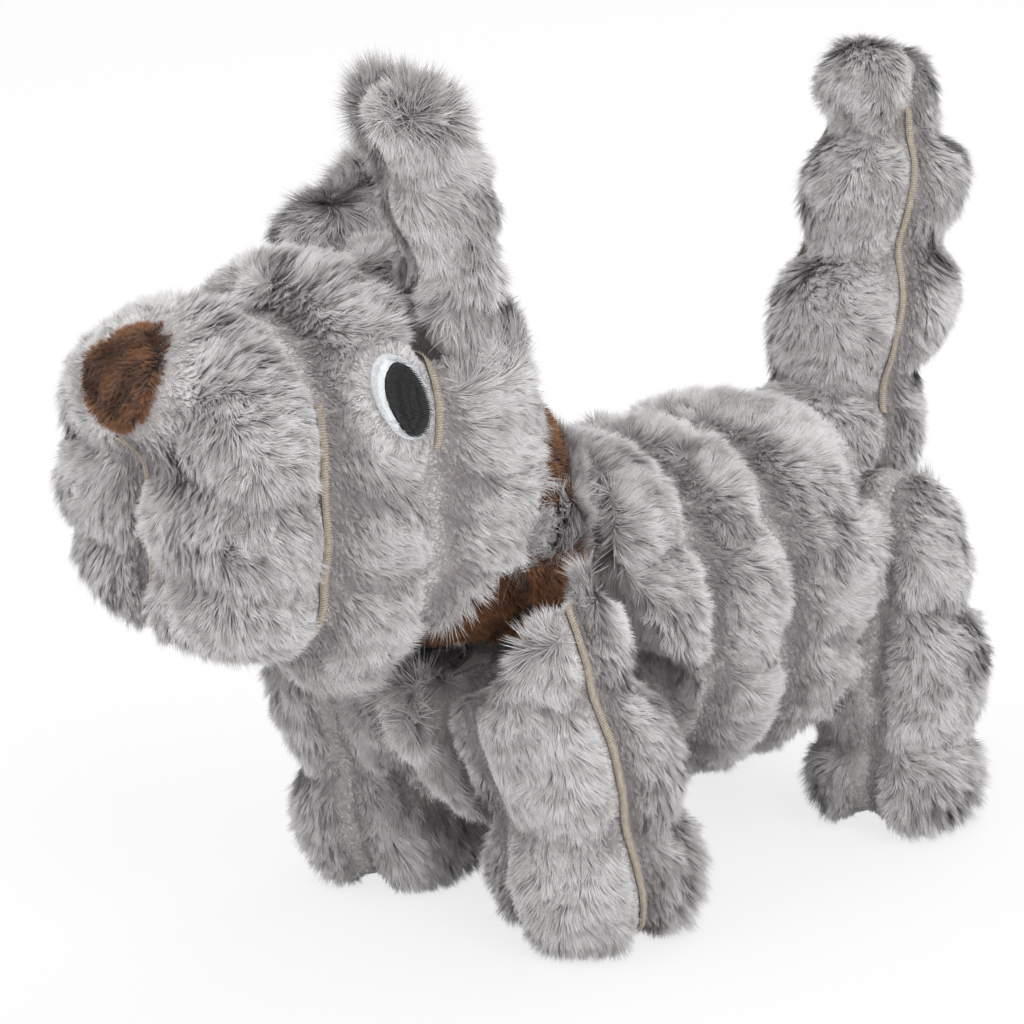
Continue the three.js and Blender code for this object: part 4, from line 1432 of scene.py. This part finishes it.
    def trace(self, fine: Cloth, label: np.ndarray, seam: Seam) -> list[np.ndarray]:
        """Follows a seam over the skin.

        Args:
            fine: the skin with its faces divided.
            label: the number of the panel at each vertex.
            seam: the seam.

        Returns:
            Lines as arrays of places, outward directions and directions to the upper panel.
        """
        first, second = self.panels.index(seam.first), self.panels.index(seam.second)
        gap = np.abs(self.away[:, second] - self.away[:, first])
        numbered, both = label.tolist(), ((first, second), (second, first))
        links: dict[tuple[int, int], list[tuple[int, int]]] = {}
        for f in fine.faces:
            crossed = [
                (min(a, b), max(a, b)) for a, b in zip(f, f[1:] + f[:1])
                if (numbered[a], numbered[b]) in both]
            if len(crossed) == 2:
                for here, there in (crossed, crossed[::-1]):
                    links.setdefault(here, []).append(there)
        lines = []
        places, normals = fine.places, fine.normals
        left = set(links)
        while left:
            ends = [e for e in sorted(left) if len(links[e]) == 1]
            chain = [ends[0] if ends else min(left)]
            left.discard(chain[0])
            while onward := [e for e in links[chain[-1]] if e in left]:
                chain.append(onward[0])
                left.discard(onward[0])
            if len(chain) < self.SHORTEST_SEAM:
                continue
            low, high = np.array(chain).T
            share = (gap[low] / (gap[low] + gap[high] + 1e-12))[:, None]
            place = places[low] * (1 - share) + places[high] * share
            upward = unit(normals[low] * (1 - share) + normals[high] * share)
            on_first = (places[low] - places[high]) * np.where(label[low] == first, 1.0, -1.0)[:, None]
            keep = (place[:, 2] > seam.low) & (place[:, 2] < seam.high)
            place, upward, on_first = place[keep], upward[keep], on_first[keep]
            if len(place) < self.SHORTEST_SEAM:
                continue
            for _ in range(self.SEAM_SMOOTHINGS):
                for row in (place, upward, on_first):
                    row[1:-1] = (row[:-2] + 2 * row[1:-1] + row[2:]) / 4
            lines.append(np.hstack([place, unit(upward), on_first]))
        return lines

    def lay_tape(self, seam: Seam, line: np.ndarray, points: list, faces: list, marks: list) -> None:
        """Adds a tape and its stitch places along a line.

        Args:
            seam: the seam that it lies on.
            line: places, outward directions and directions to the upper panel.
            points: the corners of the tapes, added to.
            faces: the faces of the tapes, added to.
            marks: middle, direction, outward direction and length of each stitch, added to.
        """
        steps = np.linalg.norm(np.diff(line[:, :3], axis=0), axis=1)
        run = np.concatenate([[0.0], np.cumsum(steps)])
        at = np.linspace(0.0, run[-1], max(int(run[-1] / self.stitch_pitch), 4))
        line = np.column_stack([np.interp(at, run, column) for column in line.T])
        place, up = line[:, :3], unit(line[:, 3:6])
        side = unit(np.cross(unit(np.gradient(place, axis=0)), up))
        side *= np.sign(np.sum(side * line[:, 6:9], axis=1, keepdims=True).mean() or 1.0)
        middle = place + side * seam.shift + up * seam.rise
        first, width, half = len(points), len(self.TAPE_PROFILE), self.tape_width / 2
        for m, s, u in zip(middle, side, up):
            points += [tuple(m + s * across * half + u * lift * MM) for across, lift in self.TAPE_PROFILE]
            marks.append((m + u * 0.05 * MM, s, u, self.tape_width))
        for row in range(len(middle) - 1):
            for a in range(first + row * width, first + row * width + width - 1):
                faces.append((a, a + 1, a + width + 1, a + width))

    def stuff(self) -> Thing:
        """Makes the filling inside the skin.

        Returns:
            The filling.
        """
        wad = Cloth(link(bpy.data.objects.new(self.body + "_filling", self.skin.mesh.copy())))
        thick = self.thickness(self.skin.places, self.skin.normals)
        depth = np.minimum(self.FILLING_DEPTH, self.FILLING_SHARE * thick)
        tree, normals = self.skin.tree(), unit(self.skin.spread(self.skin.normals, 2))
        wad.places = self.skin.places - normals * depth[:, None]
        for _ in range(self.FILLING_RETREATS):
            bare = wad.spread((~self.inside(tree, wad.places)).astype(float), 1) > 0.2
            wad.places[bare] = wad.spread(wad.places, 1)[bare]
        wad.write()
        piece = wad.finish(self.shop.dress.filling)
        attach(piece, self.body)
        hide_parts(*self.shop.toy.nodes_of(self.body, "stuffing"))
        return piece


@dataclass(frozen=True)
class Swelling:
    """How the cloth solver presses the skins outwards between their seams."""

    frames: int = 20
    pressure: float = 1500.0
    stretch: float = 5.0
    shear: float = 2.0
    quality: int = 4
    inward: float = 0.5 * MM

    def run(self, bodies: list[FurBody]) -> None:
        """Args:
            bodies: the bodies with their skins cut.
        """
        scene = bpy.context.scene
        for body in bodies:
            thing = body.skin.thing
            held = thing.vertex_groups.new(name="held")
            held.add([int(i) for i in np.flatnonzero(body.held)], 1.0, "REPLACE")
            modifier = thing.modifiers.new("swell", "CLOTH")
            settings = modifier.settings
            settings.use_pressure = True
            settings.uniform_pressure_force = self.pressure
            settings.tension_stiffness = settings.compression_stiffness = self.stretch
            settings.shear_stiffness = self.shear
            settings.effector_weights.gravity = 0.0
            settings.vertex_group_mass = "held"
            settings.quality = self.quality
            modifier.collision_settings.use_collision = False
            modifier.point_cache.frame_start, modifier.point_cache.frame_end = 1, self.frames
        for frame in range(1, self.frames + 1):
            scene.frame_set(frame)
        depsgraph = bpy.context.evaluated_depsgraph_get()
        for body in bodies:
            skin = body.skin
            moved = numbers(skin.thing.evaluated_get(depsgraph).data.vertices, "co", 3)
            outward = np.sum((moved - skin.places) * skin.normals, axis=1)
            capped = np.clip(np.nan_to_num(outward), -self.inward, body.swell)
            skin.thing.modifiers.remove(skin.thing.modifiers["swell"])
            skin.thing.vertex_groups.clear()
            skin.places = skin.places + skin.normals * capped[:, None]
            skin.write()
            LOG.info("%s swells by %.2f mm on average", body.body, capped.mean() / MM)
        scene.frame_set(1)


@dataclass
class Torso(FurBody):
    """The trunk: chest, three bands and rump."""

    flow: tuple[float, float, float] = (0.0, 0.75, -1.0)
    ribs: tuple[float, ...] = (66 * MM, 101 * MM)
    swell: float = 3.2 * MM

    def groom(self, points: np.ndarray, values: dict[str, np.ndarray]) -> None:
        """Combs the pile towards the head and the tail, over the gaps there.

        Args:
            points: places on the outer surface.
            values: the pile's values at them, changed in place.
        """
        self.bridge(points, values, "head", reach=32 * MM, longer=2.6, low=54 * MM)
        self.bridge(points, values, "tail", reach=26 * MM, longer=1.6)

    def seam_field(self, points: np.ndarray) -> tuple[np.ndarray, np.ndarray, np.ndarray]:
        """Measures the distance to the nearest seam, leaving out the one under the neck's pile.

        Args:
            points: places on the outer surface.

        Returns:
            What the plain body's method returns, with that seam far away.
        """
        away, ahead, label = super().seam_field(points)
        chest = np.array([n.startswith("chest") for n in self.panels])
        first = np.array([n == "body_band_1" for n in self.panels])
        under = (chest[label] & first[self.second]) | (first[label] & chest[self.second])
        return np.where(under, self.UNSEEN, away), ahead, label


@dataclass
class Head(FurBody):
    """The head, whose pile is short round the nose and the eyes."""

    flow: tuple[float, float, float] = (0.155, 0.58, -0.8)
    ribs: tuple[float, ...] = (109 * MM, 133 * MM)
    turn_near: tuple[tuple[str, float], ...] = (
        ("nose", 24 * MM), ("eye_white_left", 7 * MM), ("eye_white_right", 7 * MM))
    seam_top: float = 138 * MM
    depth_at_mark: Run = Run(0.25, 1.0, 1 * MM, 9 * MM)
    cover_at_mark: Run = Run(0.0, 1.0, 0.2 * MM, 0.9 * MM)
    long_at_mark: Run = Run(0.45, 1.0, 1 * MM, 9 * MM)
    lift_at_mark: Run = Run(0.6, 1.0, 1 * MM, 9 * MM)
    shade_at_mark: Run = Run(0.5, 0.0, 1 * MM, 6 * MM)
    free_at_mark: Run = Run(0.0, 1.0, 2 * MM, 12 * MM)
    cover_at_nose: Run = Run(0.0, 1.0, 1.2 * MM, 2.2 * MM)
    long_at_nose: Run = Run(0.6, 1.0, 2 * MM, 12 * MM)

    def seam_field(self, points: np.ndarray) -> tuple[np.ndarray, np.ndarray, np.ndarray]:
        """Measures the distance to the nearest seam, leaving out the middle one on top of the head.

        Args:
            points: places on the outer surface.

        Returns:
            What the plain body's method returns, with that seam far away.
        """
        away, ahead, label = super().seam_field(points)
        stems = np.array([n.rsplit("_", 1)[0] for n in self.panels])
        hidden = (stems[label] == stems[self.second]) & (points[:, 2] > self.seam_top)
        return np.where(hidden, self.UNSEEN, away), ahead, label

    def mark_distances(self, points: np.ndarray) -> np.ndarray:
        """Returns how far points are from the nose and from each eye."""
        return self.shop.toy.distances(points, [name for name, _ in self.turn_near])

    def depth_share(self, points: np.ndarray) -> np.ndarray:
        """Returns how much of its full depth the skin lies under the surface, little under nose and eyes."""
        return self.depth_at_mark.at(self.mark_distances(points).min(axis=1))

    def groom(self, points: np.ndarray, values: dict[str, np.ndarray]) -> None:
        """Shortens the pile round the nose and the eyes and combs it away from them.

        Args:
            points: places on the outer surface.
            values: the pile's values at them, changed in place.
        """
        apart = self.mark_distances(points)
        near, nose = apart.min(axis=1), apart[:, 0]
        values["cover"] *= self.cover_at_mark.at(near) * self.cover_at_nose.at(nose)
        values["long"] *= self.long_at_mark.at(near)
        values["lift"] *= self.lift_at_mark.at(near)
        values["shade"] += self.shade_at_mark.at(near)
        values["free"] *= self.free_at_mark.at(near)
        for column, (name, reach) in enumerate(self.turn_near):
            low, high = (np.array(corner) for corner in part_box(name))
            share = 1 - smooth_step(apart[:, column], reach / 3, reach)
            turn(values, unit(points - (low + high) / 2), share)
        for ear in ("ear_left", "ear_right"):
            self.bridge(points, values, ear, reach=14 * MM, longer=1.5)
        values["long"] *= self.long_at_nose.at(nose)
        self.bridge(points, values, "body", reach=34 * MM, longer=2.4)


@dataclass
class Tail(FurBody):
    """The upright tail of two halves."""

    ribs: tuple[float, ...] = (120 * MM, 156 * MM, 188 * MM)
    rib_depth: float = 3.6 * MM


@dataclass
class Ear(FurBody):
    """An ear, with a tuft that spreads at its tip."""

    ribs: tuple[float, ...] = (171 * MM, 200 * MM)
    inset: float = 3.0 * MM
    voxel: float = 3.0 * MM
    tuft_reach: float = 26 * MM
    tuft_end: float = 4 * MM
    tuft_root: float = 8 * MM
    tuft_long: float = 0.7
    tuft_lift: float = 0.8

    def groom(self, points: np.ndarray, values: dict[str, np.ndarray]) -> None:
        """Spreads the pile at the ear's tip.

        Args:
            points: places on the outer surface.
            values: the pile's values at them, changed in place.
        """
        low, high = points[:, 2].max() - self.tuft_reach, points[:, 2].max() - self.tuft_end
        share = smooth_step(points[:, 2], low, high)
        root = points[points[:, 2] > low].mean(axis=0) - UP * self.tuft_root
        turn(values, unit(points - root), share)
        values["long"] *= 1.0 + self.tuft_long * share
        values["lift"] *= 1.0 + self.tuft_lift * share
        self.bridge(points, values, "head", reach=16 * MM, longer=1.4)


@dataclass
class Leg(FurBody):
    """A leg, whose pile flares at the foot."""

    flare_low: float = 6 * MM
    flare_top: float = 34 * MM
    flare: float = 0.4
    rear_share: Run = Run(0.0, 1.0, 3 * MM, 12 * MM)
    rear_long: float = 0.5
    rear_lift: float = 0.3

    def groom(self, points: np.ndarray, values: dict[str, np.ndarray]) -> None:
        """Lifts the pile at the foot, and most of all behind it.

        Args:
            points: places on the outer surface.
            values: the pile's values at them, changed in place.
        """
        share = 1 - smooth_step(points[:, 2], self.flare_low, self.flare_top)
        values["lift"] *= 1.0 + self.flare * share
        if self.body.startswith("front"):
            self.bridge(points, values, "head", reach=30 * MM, longer=1.5, low=80 * MM)
        ahead, behind = self.shop.toy.distances(points, self.panels[:2]).T
        rear = self.rear_share.at(ahead - behind) * share
        values["long"] *= 1 + self.rear_long * rear
        values["lift"] *= 1 + self.rear_lift * rear


@dataclass
class ShortPile:
    """A piece covered in short brown pile: the nose or the neck band."""

    shop: Workshop
    node: str
    body: str
    slot: str
    voxel: float
    sink: float
    rule: PileRule
    fringe: float = 0.0
    lump: float = 0.5 * MM
    lump_size: float = 6 * MM
    fringe_low: float = 104 * MM
    fringe_long: float = 1.3
    flow: tuple[float, float, float] = (0.0, 0.1, -1.0)
    seed: int = 71

    def build(self) -> None:
        """Makes the cloth and its pile, and grey fringe where fur lies over it."""
        toy, dress = self.shop.toy, self.shop.dress
        cloth = Cloth.around(self.node + "_cloth", [toy.frame["nodes"][self.node]], self.voxel, 3)
        normals = cloth.normals
        outer = cloth.places.copy()
        cloth.places = outer - normals * (self.sink + self.lump * lumps(outer, self.lump_size, 4.4))[:, None]
        cloth.write()
        free = toy.open_space(outer + normals * 0.2 * MM, normals, 6 * MM, self.body)
        cover = smooth_step(free, 0.5 * MM, 2.0 * MM)
        grey = self.grey_share(outer)
        flow = unit(flat(np.broadcast_to(np.array(self.flow), outer.shape), normals))
        pieces = [self.pile("_pile", cloth, cover * (1 - grey), flow, self.rule, dress.brown_pile, 1.0)]
        if self.fringe:
            forward = unit(toy.nearest(outer, *toy.nodes_of("head")) - outer)
            pieces.append(self.pile(
                "_fringe", cloth, cover * grey, forward, FurBody.rule, dress.fur, self.fringe_long))
        base = cloth.finish(dress.brown_cloth)
        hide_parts(self.node)
        for piece in (*pieces, base):
            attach(piece, self.body)
            LOG.info("%s: %d faces", piece.name, len(piece.data.polygons))

    def grey_share(self, points: np.ndarray) -> np.ndarray:
        """Measures how much of the pile is grey: all of it near the torso and the front legs.

        Args:
            points: places on the outer surface.

        Returns:
            The grey share at each place.
        """
        if not self.fringe:
            return np.zeros(len(points))
        toy = self.shop.toy
        behind = toy.tree_of(
            *toy.nodes_of("body"), *toy.nodes_of("front_leg_left"), *toy.nodes_of("front_leg_right"))
        apart = np.array([behind.find_nearest(Vector(p))[3] for p in points])
        near = 1 - smooth_step(apart, self.fringe - 1 * MM, self.fringe + 1 * MM)
        return near * smooth_step(points[:, 2], self.fringe_low - 5 * MM, self.fringe_low + 5 * MM)

    def pile(
        self, ending: str, cloth: Cloth, cover: np.ndarray, lay: np.ndarray, rule: PileRule,
        material: Material, long: float,
    ) -> Thing:
        """Grows one pile on the cloth.

        Args:
            ending: what the pile's name ends with.
            cloth: what it grows on.
            cover: the share of strands at each vertex.
            lay: the direction in which it lies.
            rule: its sizes.
            material: its material.
            long: the share of its length.

        Returns:
            The pile.
        """
        ones = np.ones(len(cover))
        values = {
            "cover": cover, "long": long * ones, "lift": ones, "shade": 0 * ones, "free": ones, "lay": lay}
        return self.shop.pile.grow(self.node + ending, cloth.mesh.copy(), values, rule, material, self.seed)


@dataclass
class Eye:
    """The threads of an embroidered eye, laid in rows over its white and its pupil."""

    shop: Workshop
    side: Side
    pitch: float = 0.42 * MM
    step: float = 0.25 * MM
    reach: float = 13 * MM
    thickness: float = 0.5 * MM
    segment: float = 3.0 * MM
    overlap: float = 1.25
    slant: float = math.radians(-24)
    ragged: float = 0.6 * MM
    head_turn: float = math.radians(-15)
    look_from: float = 30 * MM
    steepest: float = 0.3

    def build(self) -> None:
        """Lays the threads of the white and of the pupil."""
        dress = self.shop.dress
        for part, slot, material, proud, seed in (
            ("white", "white_thread", dress.white_thread, 0.3 * MM, 7),
            ("pupil", "black_thread", dress.black_thread, 0.4 * MM, 8),
        ):
            piece = self.embroider(part, material, proud, np.random.default_rng(seed))
            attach(piece, "head")

    def embroider(self, part: str, material: Material, proud: float, draw: np.random.Generator) -> Thing:
        """Lays the threads of one part of the eye over its solid.

        Args:
            part: white or pupil.
            material: the thread's material.
            proud: how far the middle of the thread is above the solid.
            draw: the random numbers.

        Returns:
            The threads.
        """
        node = f"eye_{part}_{self.side.word}"
        tree = self.shop.toy.tree_of(node)
        sign, angle = self.side.value[1], self.head_turn
        out = np.array((sign * math.cos(angle), sign * math.sin(angle), 0.0))
        back = np.array((-math.sin(angle), math.cos(angle), 0.0))
        row = back * math.cos(self.slant) + UP * math.sin(self.slant)
        rise = np.cross(row, out) * sign
        low, high = (np.array(corner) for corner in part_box(node))
        middle = (low + high) / 2
        marks = []
        for level in np.arange(-self.reach, self.reach, self.pitch):
            run = []
            for along in np.arange(-self.reach, self.reach + self.pitch, self.step):
                place = middle + rise * level + row * along + out * self.look_from
                hit, normal, _, _ = tree.ray_cast(Vector(place), Vector(-out), 2 * self.look_from)
                if hit is not None and normal.dot(Vector(out)) > self.steepest:
                    run.append((np.array(hit), np.array(normal)))
                elif run:
                    marks += self.lay_run(run, row, proud, draw)
                    run = []
        return self.shop.stitches.sew(node + "_threads", marks, self.thickness, material)

    def lay_run(self, run: list, row: np.ndarray, proud: float, draw: np.random.Generator) -> list[tuple]:
        """Cuts one row over the solid into threads that follow it.

        Args:
            run: the points and outward directions of the row.
            row: the row's direction.
            proud: how far the thread is above the solid.
            draw: the random numbers.

        Returns:
            The middle, direction, outward direction and length of each thread.
        """
        if len(run) < 3:
            return []
        points = np.array([p + n * proud for p, n in run])
        points[0] -= row * draw.uniform(0, self.ragged)
        points[-1] += row * draw.uniform(0, self.ragged)
        count = max(int(round(np.linalg.norm(points[-1] - points[0]) / self.segment)), 1)
        knots = np.linspace(0, len(points) - 1, count + 1).round().astype(int)
        marks = []
        for start, end in zip(knots[:-1], knots[1:]):
            way = points[end] - points[start]
            size = np.linalg.norm(way)
            marks.append((
                (points[start] + points[end]) / 2, way / size, run[(start + end) // 2][1], size * self.overlap))
        return marks


@dataclass(frozen=True)
class Photograph:
    """The camera, at the photograph's angle."""

    azimuth: float = 42.38
    elevation: float = 14.45
    distance: float = 1.0
    aim: tuple[float, float, float] = (-0.02034, -0.00358, 0.09355)
    lens: float = 131.97
    sensor: float = 36.0

    def build(self) -> None:
        """Makes the camera and sets it as the scene's own."""
        around, above = math.radians(self.azimuth), math.radians(self.elevation)
        level = math.cos(above)
        back = Vector((math.sin(around) * level, -math.cos(around) * level, math.sin(above)))
        data = bpy.data.cameras.new("photograph")
        data.lens, data.sensor_width = self.lens, self.sensor
        data.clip_start, data.clip_end = 0.05, 50.0
        camera = link(bpy.data.objects.new("photograph", data))
        camera.location = Vector(self.aim) + back * self.distance
        camera.rotation_euler = back.to_track_quat("Z", "Y").to_euler()
        bpy.context.scene.camera = camera


@dataclass(frozen=True)
class Studio:
    """A pale floor, a white surround and soft lamps."""

    floor_size: float = 12.0
    surround: float = 0.78
    lamps: tuple[tuple[tuple[float, float, float], float, float], ...] = (
        ((1.6, -0.9, 1.9), 1.5, 21.0),
        ((-0.5, -1.7, 1.8), 1.6, 10.0),
        ((-0.4, 1.8, 1.9), 1.6, 12.0),
    )

    def build(self) -> None:
        """Makes the floor, the surround and the lamps."""
        self._floor()
        self._surround()
        for number, (place, size, power) in enumerate(self.lamps):
            data = bpy.data.lights.new(f"softbox_{number}", "AREA")
            data.shape, data.size, data.energy = "DISK", size, power
            lamp = link(bpy.data.objects.new(f"softbox_{number}", data))
            lamp.location = place
            lamp.rotation_euler = (Vector(place) - Vector((0.0, 0.0, 0.1))).to_track_quat("Z", "Y").to_euler()

    def _floor(self) -> None:
        """Makes the floor, white to the camera but for a faint shadow."""
        half = self.floor_size / 2
        mesh = bpy.data.meshes.new("floor")
        corners = [(-half, -half, 0), (half, -half, 0), (half, half, 0), (-half, half, 0)]
        mesh.from_pydata(corners, [], [(0, 1, 2, 3)])
        made, g, shader = blank_material("floor")
        shader.inputs["Base Color"].default_value = (0.9, 0.9, 0.9, 1.0)
        shader.inputs["Roughness"].default_value = 0.9
        glow = g.node("ShaderNodeEmission", None, Color=(1.0, 1.0, 1.0, 1.0), Strength=1.0)
        path = g.node("ShaderNodeLightPath").outputs["Is Camera Ray"]
        mixed = g.node("ShaderNodeMixShader", None, i0=g.math("MULTIPLY", path, 0.8))
        g.tree.links.new(shader.outputs[0], mixed.inputs[1])
        g.tree.links.new(glow.outputs[0], mixed.inputs[2])
        out = next(n for n in g.tree.nodes if n.type == "OUTPUT_MATERIAL")
        g.tree.links.new(mixed.outputs[0], out.inputs[0])
        mesh.materials.append(made)
        link(bpy.data.objects.new("floor", mesh))

    def _surround(self) -> None:
        """Makes the world, white to the camera and softer as a light."""
        world = bpy.data.worlds.new("surround")
        bpy.context.scene.world = world
        world.use_nodes = True
        g = Graph(world.node_tree)
        path = g.node("ShaderNodeLightPath").outputs
        seen = g.math("MAXIMUM", path["Is Camera Ray"], path["Is Glossy Ray"])
        strength = g.math("ADD", g.math("MULTIPLY", seen, 1.0 - self.surround), self.surround)
        background = next(n for n in world.node_tree.nodes if n.type == "BACKGROUND")
        background.inputs["Color"].default_value = (1.0, 1.0, 1.0, 1.0)
        g.fill(background.inputs["Strength"], strength)


def fur_bodies(shop: Workshop) -> list[FurBody]:
    """Returns every body that wears fur.

    Args:
        shop: what they are made with.

    Returns:
        The bodies, in the order in which they are built.
    """
    sides = [side.word for side in Side]
    bodies = [
        Torso(
            shop, "body", seed=2,
            groups={
                "chest": ("chest_panel_left", "chest_panel_right"), "band_1": ("body_band_1",),
                "band_2": ("body_band_2",), "band_3": ("body_band_3",),
                "rump": ("rump_panel_left", "rump_panel_right"),
            },
        ),
        Head(
            shop, "head", seed=3,
            groups={
                "muzzle": ("muzzle_panel_left", "muzzle_panel_right", "chin_panel"),
                "cheek": ("cheek_band_left", "cheek_band_right"), "nape": ("nape_band_left", "nape_band_right"),
            },
            seams=(
                Seam("muzzle_panel_left", "muzzle_panel_right", 84 * MM, 141 * MM, 3.2 * MM, 2.4 * MM),
                *(Seam(f"muzzle_panel_{side}", f"cheek_band_{side}", 92 * MM, 150 * MM) for side in sides),
                *(Seam(f"cheek_band_{side}", f"nape_band_{side}", 132 * MM, 182 * MM) for side in sides),
            ),
        ),
        Tail(
            shop, "tail", seed=4, groups={"tail": ("tail_front_panel", "tail_back_panel")},
            seams=(Seam("tail_front_panel", "tail_back_panel", 108 * MM, 196 * MM),),
        ),
    ]
    for side in sides:
        panels = (f"ear_outer_panel_{side}", f"ear_inner_panel_{side}")
        bodies.append(Ear(shop, f"ear_{side}", {f"ear_{side}": panels}, seed=5))
        for place, ribs in (("front", (36 * MM, 74 * MM)), ("hind", (28 * MM, 65 * MM))):
            body = f"{place}_leg_{side}"
            panels = tuple(shop.toy.nodes_of(body, "panel"))
            seams = (Seam(panels[0], panels[1]),) if place == "front" else ()
            bodies.append(Leg(shop, body, {body: panels}, seams=seams, seed=6, ribs=ribs))
    return bodies


def main() -> None:
    """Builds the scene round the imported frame."""
    logging.basicConfig(level=logging.INFO, format="%(name)s %(message)s")
    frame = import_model()
    Photograph().build()
    Studio().build()
    bpy.context.scene.view_settings.view_transform = "Standard"
    shop = Workshop(Toy(frame), Wardrobe(), PileMaker(), StitchMaker())
    dress = shop.dress
    looks = {"eye_white": dress.white_thread, "eye_pupil": dress.black_thread, "squeaker": dress.shell}
    for name, node in frame["nodes"].items():
        node.data.materials.clear()
        node.data.materials.append(
            next((look for start, look in looks.items() if name.startswith(start)), dress.filling))
    bodies = fur_bodies(shop)
    for body in bodies:
        body.cut()
    Swelling().run(bodies)
    for body in bodies:
        body.dress()
    for side in Side:
        Eye(shop, side).build()
    fine = PileRule(
        length=2.9 * MM, width=0.3 * MM, strands_per_area=2.4e7, tuft_size=1.8 * MM, tuft_pull=0.1,
        wisp_pull=0.3, start_lift=0.9, end_lift=0.7, swirl_size=8 * MM)
    coarse = replace(fine, length=2.8 * MM, width=0.45 * MM, strands_per_area=5.0e6)
    ShortPile(shop, "nose", "head", "nose_plush", voxel=1.4 * MM, sink=1.1 * MM, rule=fine).build()
    for node, voxel, sink in (("collar", 2.2 * MM, 1.0 * MM), ("neck_stuffing", 2.6 * MM, 1.2 * MM)):
        ShortPile(
            shop, node, "neck", "collar_plush", voxel, sink, coarse, fringe=15 * MM, lump=0.3 * MM).build()
    LOG.info("all pieces are in place")


if __name__ == "__main__":
    main()
